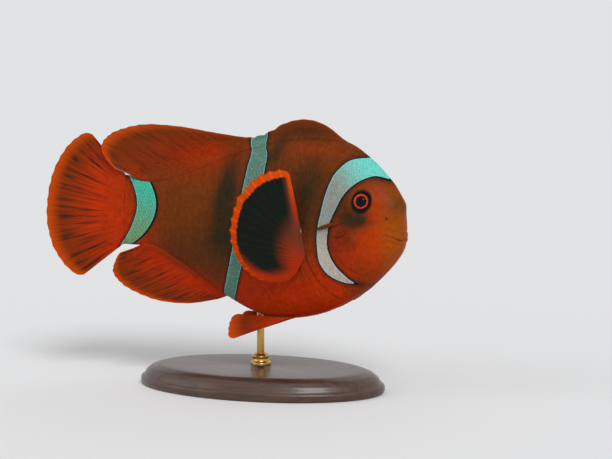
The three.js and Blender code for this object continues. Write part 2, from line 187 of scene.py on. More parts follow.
def section(station, turn):
    """The body's surface at a station and a turn round the section, from 0 at the fish's left."""
    up, across = np.sin(turn), np.cos(turn)
    middle, reach, sharpness = half_section(station, up > 0)
    side = np.sign(across) * half_width(station) * np.abs(across) ** sharpness
    return joined(station, side, middle + reach * up)


def skin_side(station, height):
    """How far out the body's surface lies at a station and height."""
    middle, reach, sharpness = half_section(station, height > widest_height(station))
    up = np.clip((height - middle) / reach, -1, 1)
    return half_width(station) * np.sqrt(1 - up ** 2) ** sharpness


def skin_normal(station, height, side):
    step = 0.5
    along = (skin_side(station + step, height) - skin_side(station - step, height)) / (2 * step)
    upward = (skin_side(station, height + step) - skin_side(station, height - step)) / (2 * step)
    return unit(joined(-along, side, -upward))


def heading(station):
    """The angle that the bent body makes with its middle direction."""
    return TURN * (np.clip((station - TURN_START) / (TURN_END - TURN_START), 0, 1) - 0.5)


def spine(station):
    """Where the bent midline lies, in x and y. It is an arc with a straight run before and after."""
    rate = TURN / (TURN_END - TURN_START)
    angle = heading(station)
    beyond = station - np.clip(station, TURN_START, TURN_END)
    return (-(np.sin(angle) + math.sin(TURN / 2)) / rate - beyond * np.cos(angle),
            (np.cos(angle) - math.cos(TURN / 2)) / rate - beyond * np.sin(angle))


def swim(points):
    """Straight points in millimetres, bent and set over the stand, in metres."""
    station, side, height = np.moveaxis(np.asarray(points, float), -1, 0)
    angle = heading(station)
    spine_x, spine_y = spine(station)
    rod_x, rod_y = spine(ROD_STATION)
    x = spine_x - rod_x - side * np.sin(angle)
    y = spine_y - rod_y + side * np.cos(angle)
    dip, lift = math.sin(NOSE_DOWN), math.cos(NOSE_DOWN)
    return MM * joined(x * lift + height * dip, y, MOUTH_HEIGHT - x * dip + height * lift)


# ---------------------------------------------------------------- the face
EYE = {"centre": (11.2, 11.6), "radius": 3.1, "bulge": 2.4, "lens": 0.1, "sunk": 1.2, "opening": 2.62}
MOUTH_CORNER = 4.4
mouth_line = curve_through([(0, -0.1), (0.5, 0.5), (1.6, 1.1), (3.4, 1.5), (MOUTH_CORNER, 1.2), (12, -5)])
JAW_BONE = ((4.2, 3.4), (6.2, -1.8))
FOREHEAD = [(1.0, 11.2, 1.6, 2.4, 0.6)]
BROW = [(10.7, 16.2, 4, 1.8, 0.22)]
NOSTRIL = (3.3, 6.8)
CHEEK = (4.5, 1.0)
CHEEK_RIDGE = ((5.4, 6.4), (14.6, 4.6))
CHEEK_CREASE = ((8.5, 1.6), (14, 0.8))
GILL_EDGE = 25.5
THROAT_FOLDS = (21.3, 22.6, 23.9)
PREOPERCLE = {"centre": (7.6, 0.6), "reach": 12.2}
PECTORAL_BASE = (30.6, -5.7)
PECTORAL_REACH = (1.9, 7.4)


def along_segment(station, height, start, end):
    """Distance from a segment drawn in side view, and the share of the way along it."""
    run = np.subtract(end, start)
    share = ((station - start[0]) * run[0] + (height - start[1]) * run[1]) / (run @ run)
    held = np.clip(share, 0, 1)
    return np.hypot(station - start[0] - held * run[0], height - start[1] - held * run[1]), share


def mouth_relief(station, height):
    """The closed mouth between its lips, the bone at its corner, the wrinkles there and the forehead."""
    off = height - mouth_line(station)
    closed = 1 - smooth(station, MOUTH_CORNER - 1.4, MOUTH_CORNER + 0.3)
    lips = 1 - smooth(station, 1.6, MOUTH_CORNER + 0.2)
    relief = -0.5 * bump(off, 0.17) * closed
    relief += (0.2 * bump(off - 0.7, 0.55) + 0.2 * bump(off + 0.75, 0.6)) * lips
    relief -= (0.1 * bump(off - 1.8, 0.35) + 0.1 * bump(off + 1.9, 0.4)) * lips
    jaw, share = along_segment(station, height, *JAW_BONE)
    relief += 0.1 * bump(jaw, 0.8) - 0.08 * bump(jaw - 1.2, 0.3) * smooth(share, 0.2, 0.7)
    wrinkles = 0.045 * np.sin(5.5 * station - 2.6 * height) * bump(station - 3.4, 1.8)
    return relief + wrinkles * bump(off - 1.3, 1.7) + clouds(station, height, FOREHEAD)


def eye_relief(station, height):
    """The socket that the eyeball stands in, its rim, a fold round it and the brow over it."""
    past = away_from(EYE["centre"], station, height) - EYE["opening"]
    socket = -1.5 * (1 - smooth(past, -0.35, 0.02))
    rim = 0.28 * bump(np.maximum(past - 0.15, 0), 0.9)
    fold = -0.06 * bump(past - 1.5, 0.5)
    return rim + np.where(past < 0, socket, fold) + clouds(station, height, BROW)


def nostril_relief(station, height):
    away = away_from(NOSTRIL, station, height, (1 / 1.15, 1))
    return -0.4 * bump(away, 0.26) + 0.07 * bump(away - 0.6, 0.28)


def plate_step(past, angle, low, high, rise, width):
    """A bony plate's rounded rear edge, which stands proud and steps down. It runs along an arc from one
    angle to another, and past is the distance behind the arc."""
    on_arc = smooth(angle, low - 8, low + 8) * (1 - smooth(angle, high - 8, high + 8))
    proud = rise * smooth(past, -width, -0.2) * (1 - smooth(past, -0.12, 0.1))
    groove = -0.6 * rise * bump(past - 0.3, 0.32)
    return (proud + groove) * on_arc, on_arc


def gill_relief(station, height):
    """The ribbed gill cover, the toothed plate in front of it and the folds under the throat."""
    out, angle = polar(CHEEK, station, height)
    past = out - GILL_EDGE
    cover, on_cover = plate_step(past, angle, -72, 48, 0.24, 5)
    ribs = 0.045 * np.cos(np.radians(angle) * 130) * smooth(past, -7, -2) * (1 - smooth(past, -0.6, -0.1))
    folds = -0.16 * sum(bump(out - reach, 0.26) for reach in THROAT_FOLDS) * (1 - smooth(angle, -66, -52))
    out, angle = polar(PREOPERCLE["centre"], station, height)
    past = out - PREOPERCLE["reach"]
    plate, on_plate = plate_step(past, angle, -78, 38, 0.2, 3.5)
    teeth = 0.06 * np.cos(np.radians(angle) * 90) * bump(past + 0.3, 0.3)
    return cover + ribs * on_cover + plate + teeth * on_plate + folds


def cheek_relief(station, height):
    """The bone under the eye that carries the cheek spines, and the crease under it."""
    ridge, share = along_segment(station, height, *CHEEK_RIDGE)
    crease, _ = along_segment(station, height, *CHEEK_CREASE)
    return 0.24 * bump(ridge, 0.9) * smooth(share, -0.3, 0.4) - 0.14 * bump(crease, 0.5)


def pectoral_relief(station, height):
    """The swelling that the breast fin grows from."""
    return 1 - smooth(away_from(PECTORAL_BASE, station, height, PECTORAL_REACH), 0.35, 1.15)


def relief(points):
    """How far the skin stands off the plain body at straight points, in millimetres."""
    station, side, height = np.moveaxis(points, -1, 0)
    total = mouth_relief(station, height)
    for parts, low, high in (((eye_relief, nostril_relief, pectoral_relief), 1, 3),
                             ((gill_relief, cheek_relief), 0.6, 2)):
        off_middle = smooth(np.abs(side), low, high)
        total += sum(part(station, height) for part in parts) * off_middle
    return total


# ---------------------------------------------------------------- markings
# Each bar's front and rear edges. The head bar's are distances from its centre by angle, the others' are
# stations by height.
BAR_CENTRE = (9.0, 1.0)
HEAD_BAR = (
    curve_through([(-100, 17), (-75, 15.9), (-60, 14.6), (-41, 13.7), (-24, 13.1), (-2, 12.3), (18, 12.2),
                   (39, 12.8), (59, 15.0), (72, 16.6), (80, 17.6), (88, 18.5), (102, 18.1), (130, 17.7)]),
    curve_through([(-100, 15), (-76, 15.8), (-71, 16.4), (-58, 17.4), (-47, 17.9), (-34, 17.8), (-19, 16.6),
                   (3, 15.9), (26, 16.6), (46, 19.6), (60, 22.8), (69, 24.3), (80, 24.3), (100, 24.3)]))
MID_BAR = (
    curve_through([(-29, 61.5), (-24, 58.6), (-9, 53), (5, 49.6), (10, 48.4), (16.5, 47.5), (20, 47.6),
                   (24.5, 48.4), (26.4, 50), (30, 50.6)]),
    curve_through([(-29, 66), (-24, 63.4), (-9, 58.1), (5, 55.9), (10, 55.1), (14.4, 54.7), (19.6, 54.5),
                   (24.5, 54.8), (26.4, 56), (30, 56.3)]))
TAIL_BAR = (
    curve_through([(-10, 98.6), (-6, 93.6), (-2, 90.4), (4.5, 88.3), (9, 89.4), (12, 91.2), (15, 94)]),
    curve_through([(-10, 101.2), (-6, 98.8), (-2, 96.8), (4.5, 95.3), (9, 96.2), (12, 97.6), (15, 99.6)]))
ALL_BARS = (0, 1, 2)
NO_BAR = -9

DARK_CLOUDS = [(30, 12, 7, 13, 0.85), (61, 11, 4.6, 13, 1.05), (62, -4, 8, 12, 0.55), (45, 24, 3.6, 6, 0.7),
               (12.0, 5.9, 4.4, 3.0, 1.0), (16.4, 10, 2.8, 5, 0.5), (1.5, 11, 2.2, 4, 0.4),
               (7, 20, 4, 2.5, 0.35), (18, -2, 5, 9, 0.46), (38, 33.5, 14, 4.5, 0.75), (101, 31, 9, 6, 0.4),
               # The cloud at (3.3, 6.8) darkens the nostril: painted shade in its pit. The broad cloud at
               # (77, -10), low on the flank behind the body bar, is partly the flank's own dark colour and
               # partly a painted shadow.
               (84, 24, 6, 5, 0.3), (3.3, 6.8, 0.4, 0.4, 0.8), (77, -10, 15, 9, 0.42), (5, 12, 5, 5, 0.16),
               (13.5, -1.2, 2.6, 3, 0.3)]
ORANGE_CLOUDS = [(3.5, -1, 10.5, 13.5, 1.0), (8.5, 12, 4.5, 4.5, 0.5), (101, 3, 8, 20, 0.25),
                 (31, 27, 10, 3, 0.35), (45, -27, 12, 6, 0.5), (20, -19, 6, 5, 0.5)]
RED_CLOUDS = [(15.5, -3, 7, 9, 0.95), (78, 24, 17, 8, 0.75), (96, -9, 9, 9, 0.45), (102, 3, 9, 20, 0.72),
              (80, -26, 20, 7, 0.8)]


def in_bar(bar, place, at):
    """How far in from a bar's nearer edge, negative outside, and the share of the way back across it."""
    front, rear = (edge(at) for edge in bar)
    share = np.clip((place - front) / (rear - front), 0, 1)
    return np.minimum(place - front, rear - place), share


def outside_face(station, height):
    """Whether a place lies behind the smooth face, whose edge is the front of the head bar."""
    out, angle = polar(BAR_CENTRE, station, height)
    return out > HEAD_BAR[0](angle) - 0.4


def markings(points):
    """For each of the three bars how far in each point lies and its share of the way back across, and how
    dark, how orange and how red it is. Over 1, dark is the black ring round the eye."""
    station, _, height = np.moveaxis(points, -1, 0)
    bars, across = (joined(*values) for values in zip(
        in_bar(HEAD_BAR, *polar(BAR_CENTRE, station, height)),
        in_bar(MID_BAR, station, height), in_bar(TAIL_BAR, station, height)))
    eye_away = away_from(EYE["centre"], station, height, (1 / 1.14, 1))
    dark = np.clip(clouds(station, height, DARK_CLOUDS), 0, 1) + 1.7 * (1 - smooth(eye_away, 2.9, 4.1))
    share_up = (height - belly(station)) / (back(station) - belly(station))
    # From station 56 to 64 back the red keeps lower on the flank, leaving it brown there; this is partly a
    # painted shadow.
    red_reach = mix(0.5, 0.16, smooth(station, 56, 64))
    red = (1 - smooth(share_up, red_reach - 0.36, red_reach)) * smooth(station, 12, 20)
    tones = joined(dark, clouds(station, height, ORANGE_CLOUDS), red + clouds(station, height, RED_CLOUDS))
    return bars, across, np.clip(tones, 0, (2, 1, 1))


# ---------------------------------------------------------------- meshes
def put(name, data):
    """An object with this data, in the scene."""
    made = bpy.data.objects.new(name, data)
    bpy.context.scene.collection.objects.link(made)
    return made


def grid_faces(rows, columns, closed=False):
    """Quads between the points of a grid, counted row by row. closed joins the last column to the first."""
    r, c = np.meshgrid(np.arange(rows - 1), np.arange(columns if closed else columns - 1), indexing="ij")
    right = (c + 1) % columns
    here, below = r * columns, (r + 1) * columns
    return joined(here + c, here + right, below + right, below + c).reshape(-1, 4)


def fan(tip, ring):
    """Triangles from a point to each side of a closed ring."""
    return joined(tip, ring, np.roll(ring, -1))


def tube_faces(rows, columns):
    """The faces of a grid whose columns close up and whose ends close on two points more."""
    count, ring = rows * columns, np.arange(columns)
    return [grid_faces(rows, columns, closed=True)[:, ::-1], fan(count, ring),
            fan(count + 1, (ring + count - columns)[::-1])]


def with_middles(rings):
    """The points of a grid row by row, and after them the middles of its first and last rows."""
    return np.concatenate([rings.reshape(-1, 3), rings[[0, -1]].mean(1)])


def outward(points, faces):
    """The faces of a closed mesh, all turned over where they look inward."""
    volume = 0
    for part in faces:
        first = points[part[:, 0]]
        for k in range(1, part.shape[1] - 1):
            volume += (first * np.cross(points[part[:, k]], points[part[:, k + 1]])).sum()
    return faces if volume > 0 else [part[:, ::-1] for part in faces]


def new_mesh(name, points, faces, uv=None, **fields):
    """A smooth-shaded mesh object from a list of face arrays. uv goes by point or corner, fields by point."""
    mesh = bpy.data.meshes.new(name)
    faces = outward(points, faces)
    sizes = np.concatenate([np.full(len(part), part.shape[1]) for part in faces])
    corners = np.concatenate([part.ravel() for part in faces])
    mesh.vertices.add(len(points))
    mesh.vertices.foreach_set("co", np.asarray(points, np.float32).ravel())
    mesh.loops.add(len(corners))
    mesh.loops.foreach_set("vertex_index", corners.astype(np.int32))
    mesh.polygons.add(len(sizes))
    mesh.polygons.foreach_set("loop_start", np.concatenate([[0], np.cumsum(sizes)[:-1]]).astype(np.int32))
    mesh.update(calc_edges=True)
    mesh.validate()
    for field, values in fields.items():
        attribute = mesh.attributes.new(field, "FLOAT_VECTOR", "POINT")
        attribute.data.foreach_set("vector", np.asarray(values, np.float32).ravel())
    if uv is not None:
        uv = uv[corners] if len(uv) == len(points) else uv
        mesh.uv_layers.new(name="OFBake").data.foreach_set("uv", np.asarray(uv, np.float32).ravel())
    mesh.shade_smooth()
    return put(name, mesh)


def painted(points, marks=ALL_BARS):
    """The fields that the fish's materials read, for straight points. Bars not in marks are left out."""
    bars, across, tones = markings(points)
    bars[:, [bar for bar in ALL_BARS if bar not in marks]] = NO_BAR
    return {"place": points, "bars": bars, "across": across, "tones": tones}


def dress(piece, material, slot, *nodes):
    """Gives a piece its material, joins it to the part's body and hides the solids that it stands for."""
    piece.data.materials.append(material)
    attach(piece, "root")
    if nodes:
        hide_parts(*nodes)


def run_along(points):
    """Distance from a line's first point, or on average from a grid's first row, in millimetres."""
    steps = np.linalg.norm(np.diff(points, axis=0), axis=-1)
    return np.concatenate([[0], np.cumsum(steps.reshape(len(steps), -1).mean(1))]) / MM


def inset(share):
    """A share of the way across an unwrap, held off its edges."""
    return 0.01 + 0.98 * share


class Surface:
    """A surface known at the points of a grid, which can be read between them. Each row has its station, and
    closed is whether its columns close up round the body."""

    def __init__(self, points, normals, straight, stations, closed=True):
        self.points, self.normals, self.straight = points, normals, straight
        self.stations, self.closed = stations, closed
        self.rows, self.columns = points.shape[:2]

    def row(self, station):
        return np.interp(station, self.stations, np.arange(self.rows))

    def _read(self, values, row, column):
        row = np.clip(row, 0, self.rows - 1.001)
        if not self.closed:
            column = np.clip(column, 0, self.columns - 1.001)
        r, c = np.floor(row).astype(int), np.floor(column).astype(int)
        fr, fc = (row - r)[..., None], (column - c)[..., None]
        left, right = c % self.columns, (c + 1) % self.columns
        here, below = (mix(values[k, left], values[k, right], fc) for k in (r, r + 1))
        return mix(here, below, fr)

    def read(self, row, column):
        """The points, their normals and their straight places."""
        row, column = np.broadcast_arrays(row, np.asarray(column, float))
        return (self._read(self.points, row, column), unit(self._read(self.normals, row, column)),
                self._read(self.straight, row, column))

    def unwrap(self, row, column):
        """A place on the surface laid flat: distance back along it and turn round it."""
        along = run_along(self.points)
        return inset(joined(np.interp(row, np.arange(self.rows), along / along[-1]), column / self.columns))


def closed_normals(points):
    """Outward normals of a grid whose columns close up and whose rows run back along the fish."""
    return unit(np.cross(np.roll(points, -1, 1) - np.roll(points, 1, 1), np.gradient(points, axis=0)))


SKIN_SIDES = 304


def skin_stations():
    """Stations of the skin's rings: close together at the snout and on the head, further apart behind."""
    stations = [0.012]
    while stations[-1] < BODY_LENGTH:
        at = stations[-1]
        behind_head = mix(0.24, 0.56, float(smooth(at, 28, 46)))
        stations.append(at + (0.05 * math.sqrt(at) + 0.012 if at < 8 else behind_head))
    return np.array(stations[:-1] + [BODY_LENGTH])


def skin_surface(coat_depth):
    """The skin. It lies in by the depth of the scales, and by less near the midline."""
    stations = skin_stations()
    body = section(stations[:, None], turns(SKIN_SIDES)[None, :])
    out = closed_normals(body)
    out[0] = (-1, 0, 0)
    off_middle = smooth(np.abs(body[..., 1]) + 0.2, 0.1, 1.2)
    straight = body + out * (relief(body) - coat_depth * mix(0.4, 1, off_middle))[..., None]
    points = swim(straight)
    normals = -closed_normals(points)
    normals[0] = unit(points[0] - points[3])
    return Surface(points, normals, body, stations)


# ---------------------------------------------------------------- shader building
class Number:
    """A shader socket. Arithmetic on those that carry numbers adds Math nodes."""

    def __init__(self, nodes, socket):
        self.nodes, self.socket = nodes, socket

    def _maths(self, operation, first, second=0.0):
        return self.nodes.node("ShaderNodeMath", {"operation": operation}, {0: first, 1: second})

    def __add__(self, other): return self._maths("ADD", self, other)
    def __radd__(self, other): return self._maths("ADD", other, self)
    def __sub__(self, other): return self._maths("SUBTRACT", self, other)
    def __rsub__(self, other): return self._maths("SUBTRACT", other, self)
    def __mul__(self, other): return self._maths("MULTIPLY", self, other)
    def __rmul__(self, other): return self._maths("MULTIPLY", other, self)
    def __pow__(self, other): return self._maths("POWER", self, other)
    def __rpow__(self, other): return self._maths("POWER", other, self)

    def maximum(self, other): return self._maths("MAXIMUM", self, other)

    def wave(self):
        """A smooth wave from 0 to 1."""
        return self._maths("SINE", self) * 0.5 + 0.5

    def step(self, low, high):
        """0 below low, 1 above high and a smooth step between. Where low is above high it falls instead."""
        if low > high:
            return 1 - self.step(high, low)
        return self.nodes.node("ShaderNodeMapRange", {"interpolation_type": "SMOOTHSTEP"},
                               {"Value": self, "From Min": low, "From Max": high})

    def beside(self, output):
        """Another output of the same node."""
        return Number(self.nodes, self.socket.node.outputs[output])


def distance(x, y):
    return (x * x + y * y) ** 0.5


class Nodes:
    """A node tree being filled."""

    def __init__(self, tree):
        self.tree = tree

    def node(self, kind, settings=None, sockets=None, output=0):
        node = self.tree.nodes.new(kind)
        for setting, value in (settings or {}).items():
            setattr(node, setting, value)
        for key, value in (sockets or {}).items():
            self.feed(node.inputs[key], value)
        return Number(self, node.outputs[output]) if len(node.outputs) else None

    def feed(self, socket, value):
        if isinstance(value, Number):
            self.tree.links.new(value.socket, socket)
        elif socket.type == "RGBA":
            socket.default_value = (*value[:3], 1)
        else:
            socket.default_value = value


class Shade(Nodes):
    """A material being made. Its surface is one Principled shader, whose steady values come first."""

    def __init__(self, name, **steady):
        self.material = bpy.data.materials.new(name)
        self.material.use_nodes = True
        super().__init__(self.material.node_tree)
        for socket, value in steady.items():
            self.set(socket.replace("_", " "), value)

    def set(self, socket, value):
        self.feed(self.tree.nodes["Principled BSDF"].inputs[socket], value)

    def finish(self, colour, roughness, height=None, depth=0.0001, strength=0.35):
        """The finished material. height is of its bumps, and depth is how deep they are."""
        self.set("Base Color", colour)
        self.set("Roughness", roughness)
        if height is not None:
            self.set("Normal", self.node("ShaderNodeBump", sockets={
                "Height": height, "Distance": depth, "Strength": strength}))
        return self.material

    def field(self, name):
        return self.node("ShaderNodeAttribute", {"attribute_name": name}, output="Vector")

    def parts(self, vector):
        split = self.node("ShaderNodeSeparateXYZ", sockets={0: vector})
        return [split.beside(part) for part in range(3)]

    def blend(self, first, second, share):
        """From one colour to another."""
        return self.node("ShaderNodeMix", {"data_type": "RGBA"}, {0: share, 6: first, 7: second}, 2)

    def layers(self, colour, *layers):
        """A colour with others laid over it in turn, each by its share."""
        for layer, share in layers:
            colour = self.blend(colour, layer, share)
        return colour

    def shaded(self, colour, amount):
        """A colour made lighter or darker by a number about 1."""
        return self.node("ShaderNodeVectorMath", {"operation": "SCALE"}, {0: colour, "Scale": amount})

    def noise(self, vector, scale, detail=3.0, roughness=0.55):
        return self.node("ShaderNodeTexNoise", sockets={
            "Vector": vector, "Scale": scale, "Detail": detail, "Roughness": roughness})

    def streaks(self, vector, factors, scale=1.0, detail=3.0, roughness=0.55):
        """Noise drawn out: it changes fastest along the axis with the largest factor."""
        drawn = self.node("ShaderNodeVectorMath", {"operation": "MULTIPLY"}, {0: vector, 1: factors})
        return self.noise(drawn, scale, detail, roughness)

    def cells(self, vector, scale):
        return self.node("ShaderNodeTexVoronoi", sockets={"Vector": vector, "Scale": scale})


# ---------------------------------------------------------------- what a user may change
class FishColours(bpy.types.PropertyGroup):
    flank: colour("Flank", "the middle of the body", (106, 50, 12))
    face: colour("Face", "the snout, the cheek and the root of the tail", (184, 56, 0))
    snout: colour("Snout", "the lips and the front of the snout", (146, 80, 10))
    belly: colour("Belly", "the breast, the belly and the base of the back fin", (174, 42, 0))
    dusk: colour("Dusk", "the dark clouds beside the bars", (48, 37, 20))
    bar: colour("Bar", "the head bar's foot", (184, 174, 164))
    bar_middle: colour("Bar middle", "the head bar behind the eye", (138, 142, 136))
    bar_top: colour("Bar top", "the bars at their tops", (106, 210, 198))
    bar_rear: colour("Body bar", "the bar on the body", (84, 122, 108))
    bar_tail: colour("Tail bar", "the top of the bar before the tail fin", (62, 158, 138))
    bar_tail_foot: colour("Tail bar foot", "that bar's foot", (100, 134, 96))
    rim: colour("Bar rim", "the bright line inside each bar's edge", (122, 208, 200))
    outline: colour("Outline", "the dark line in front of each bar", (10, 20, 18))
    outline_rear: colour("Rear outline", "the dark line behind each bar", (18, 24, 34))
    tail_root: colour("Tail root", "the tail's root and of the anal fin's rays", (198, 48, 3))
    fin: colour("Fin", "the fins on the midline", (114, 46, 4))
    fin_edge: colour("Fin edge", "the fins' bright margins", (210, 74, 3))
    fin_dark: colour("Fin dark", "the black fin and of the fins' dark streaks", (17, 26, 20))
    iris: colour("Iris", "the ring round the pupil", (224, 44, 10))
    spine: colour("Cheek spine", "the spines under the eye", (100, 52, 34))


class SkinSizes(bpy.types.PropertyGroup):
    coat_depth: length("Scale depth", "How far the skin lies under the outside of the scales", 0.25)
    scale_length: length("Scale spacing", "From one scale to the next along the flank", 1.3)
    scale_lift: length("Scale lift", "How far a scale's rear edge stands off the skin", 0.2)
    seed: IntProperty(name="Seed", description="Start of the scales' small differences", default=11, min=0)


class FinSizes(bpy.types.PropertyGroup):
    membrane: length("Membrane", "Thickness of the skin between the rays", 0.2)
    ray: length("Ray", "Thickness of a ray at its root", 0.6)
    ripple: length("Ripple", "How far the skin between the rays falls to one side", 0.08)


class StandLooks(bpy.types.PropertyGroup):
    wood: colour("Wood", "the base's wood", (74, 44, 26))
    wood_grain: colour("Grain", "the grain lines", (34, 20, 13))
    brass: colour("Brass", "the rod and collar", (196, 154, 84))


class StageSettings(bpy.types.PropertyGroup):
    azimuth: real("Azimuth", "The camera's turn round the fish, in degrees", 20)
    elevation: real("Elevation", "The camera's height over the fish, in degrees", 5)
    distance: real("Distance", "From the camera to its aim", 0.4675, unit="LENGTH")
    aim_right: real("Aim right", "How far the aim is right of the trunk's middle", 0.01232, unit="LENGTH")
    aim_up: real("Aim up", "The aim's height over the trunk's middle", -0.00074, unit="LENGTH")
    view_angle: real("View angle", "The camera's view from side to side", math.radians(24), subtype="ANGLE")
    daylight: real("Daylight", "Strength of the soft light from all sides", 0.62)
    key_light: real("Key light", "Strength of the broad lamp over the camera", 1.5)


# ---------------------------------------------------------------- finishes of the fish
def moist(name):
    """A material of the fish, under a faint clear coat."""
    return Shade(name, Specular_IOR_Level=0.045, Coat_Weight=0.018, Coat_Roughness=0.25)


# From the head bar back: how wide the bright line inside a bar's edge is, how bright it is at the bar's front
# and rear, how far the scales show in the pale middle by painted shade towards each scale's root, and how
# wide the dark line behind the bar is.
BAR_LOOKS = (
    {"rim": 0.36, "rim_front": 0.2, "rim_rear": 0.9, "scaly": 0.3, "line": 0.62},
    {"rim": 0.4, "rim_front": 0.5, "rim_rear": 0.65, "scaly": 0.7, "line": 0.55},
    {"rim": 0.36, "rim_front": 0.3, "rim_rear": 0.6, "scaly": 1.5, "line": 0.95},
)


def add_bars(shade, colour, place, grain=None):
    """Paints the three bars over a colour: a pale middle, a bright line inside the edge and a dark line round
    it. grain is how far back each place lies on its scale, and darkens the pale middle towards each scale's
    root as painted shade."""
    colours = bpy.context.scene.fish_colours
    station, _, height = shade.parts(place)
    speckle = shade.noise(place, 1.5, 4)
    head_fill = shade.layers(colours.bar, (colours.bar_middle, height.step(-9, 9)),
                             (colours.bar_top, (height - station * 0.9).step(-4, 14.5)))
    rear_fill = shade.blend(colours.bar_rear, colours.bar, speckle.step(0.52, 0.75) * 0.3)
    tail_fill = shade.blend(colours.bar_tail_foot, colours.bar_tail, height.step(-8, 11))
    for inside, back_share, fill, look in zip(
            shade.parts(shade.field("bars")), shade.parts(shade.field("across")),
            (head_fill, rear_fill, tail_fill), BAR_LOOKS):
        frayed = inside + (shade.noise(place, 2.2, 2) - 0.5) * 0.24
        behind = back_share.step(0.35, 0.65)
        rim = behind * (look["rim_rear"] - look["rim_front"])
        rim = frayed.step(look["rim"], look["rim"] * 0.4) * (look["rim_front"] + rim)
        fill = shade.shaded(fill, 0.55 + speckle * 0.9)
        # Painted shade: the pale middle darkens towards each scale's root, where it tucks under the scale in
        # front.
        if grain is not None:
            fill = shade.shaded(fill, 1 + (grain - 0.62) * look["scaly"])
        line = look["line"]
        colour = shade.layers(
            colour, (colours.outline, frayed.step(-1.9, -0.3) * 0.5),
            (shade.blend(colours.outline, colours.outline_rear, behind),
             (frayed + behind * (0.46 - line)).step(-line, 0.22 - line)),
            (shade.blend(fill, colours.rim, rim), frayed.step(-0.06, 0.06)))
    return colour


def body_tone(shade, place):
    """The fish's ground colour, from its clouds of dark, orange and red, and the mottling in it."""
    colours = bpy.context.scene.fish_colours
    dark, orange, red = shade.parts(shade.field("tones"))
    drift = shade.streaks(place, (0.6, 0.2, 0.9), 0.16, 4)
    mottle = shade.noise(place, 0.7, 5, 0.62)
    colour = shade.layers(
        colours.flank, (colours.belly, red * (0.7 + drift * 0.5)),
        (colours.face, orange * (0.6 + drift * 0.6)),
        (colours.snout, shade.parts(place)[0].step(7.5, 0.5) * 0.65),
        (colours.dusk, dark.step(0, 1) * (0.62 + drift * 0.7)), (colours.outline, dark.step(1.0, 1.6)))
    freckles = shade.cells(place, 2.9).step(0.24, 0.1) * shade.noise(place, 0.9, 2).step(0.35, 0.6)
    light = 0.53 + mottle * 0.8 + shade.noise(place, 5, 2) * 0.13 + freckles * 0.1
    return shade.shaded(colour, light), mottle


def scale_tint(shade, colour):
    """A colour that differs a little from scale to scale, darker towards each scale's root and lighter at its
    rear
    edge: painted shade where the scale tucks under the one in front. With it come the scale's own tint and
    each place on it, back along and across."""
    tint, back_along, across = shade.parts(shade.field("grain"))
    return shade.shaded(colour, (0.9 + tint * 0.2) * (0.78 + back_along * 0.3)), tint, back_along, across


def skin_finish():
    shade = moist("anemonefish_skin")
    place = shade.field("place")
    colour, mottle = body_tone(shade, place)
    pores = shade.cells(place, 2.6) * 0.5 + shade.noise(place, 6, 3) * 0.5
    return shade.finish(add_bars(shade, colour, place), 0.34 + mottle * 0.2, pores, 0.00012, 0.5)


def scale_finish():
    shade = moist("anemonefish_scales")
    place = shade.field("place")
    colour, mottle = body_tone(shade, place)
    colour, tint, back_along, across = scale_tint(shade, colour)
    rings = (distance(back_along, across) * 44).wave()
    return shade.finish(add_bars(shade, colour, place, back_along), 0.3 + tint * 0.14 + mottle * 0.1,
                        rings * 0.3 + shade.noise(place, 5, 2) * 0.7, 0.00008, 0.3)


def ray_streaks(shade, fin_place, across_scale):
    """Fine lines that run out along a fin's rays."""
    return shade.streaks(fin_place, (across_scale, 2.2, 0))


def ray_joints(out, off_ray, count):
    """The joints of a fin's soft rays."""
    return (out * count).wave() * off_ray.step(0.5, 0.1)


def fin_finish(name, streaked, margin, rear_from=0.0, bright=0.0, has_bars=True, with_grain=False):
    """The body's colour at a fin's root, turning to the fin's own. streaked is how dark the skin between its
    rays is and margin how much of it is bright edge, both behind rear_from, a share of the way along it.
    bright is how much of it, from the root, has the colour of the tail's root."""
    colours = bpy.context.scene.fish_colours
    shade = moist(name)
    fin_place, place = shade.field("fin"), shade.field("place")
    along, out, off_ray = shade.parts(fin_place)
    streaks = ray_streaks(shade, fin_place, 60)
    fine = ray_streaks(shade, fin_place, 190)
    blotches = shade.streaks(fin_place, (42, 1.5, 0))
    root, _ = body_tone(shade, place)
    bright_root = out.step(bright + 0.3, bright - 0.15) * along.step(0.95, 0.6) * bright
    colour = shade.layers(root, (colours.tail_root, bright_root * (0.25 + out.step(0.02, 0.4) * 0.75)),
                          (colours.fin, out.step(0.3, 0.85) * 0.75))
    between = off_ray.step(0.15, 0.8) * 0.6 + 0.4
    dusk = blotches.step(0.42, 0.62) * between * out.step(0.1, 0.5) * out.step(1.02, 0.78)
    edge = (out + (streaks - 0.5) * 0.12).step(1 - margin, 1.02)
    if rear_from:
        rear = along.step(rear_from - 0.2, rear_from + 0.2)
        dusk = dusk * rear
        edge = edge * (0.3 + rear * 0.7)
        colour = shade.blend(colour, colours.bar, along.step(0.99, 0.997) * out.step(0.2, 0.5) * 0.45)
    colour = shade.blend(colour, colours.fin_dark, dusk * streaked)
    colour = shade.shaded(colour, 0.66 + streaks * 0.34 + fine * 0.34)
    colour = shade.blend(colour, colours.fin_edge, edge * 0.8)
    grain = None
    if with_grain:
        colour, _, grain, _ = scale_tint(shade, colour)
    if has_bars:
        colour = add_bars(shade, colour, place, grain)
    if with_grain:
        return shade.finish(colour, 0.42 + streaks * 0.2, shade.noise(place, 5, 2), 0.00006, 0.3)
    lines = streaks * 0.3 + fine * 0.5 + ray_joints(out, off_ray, 200) * 0.2
    return shade.finish(colour, 0.42 + streaks * 0.2, lines)


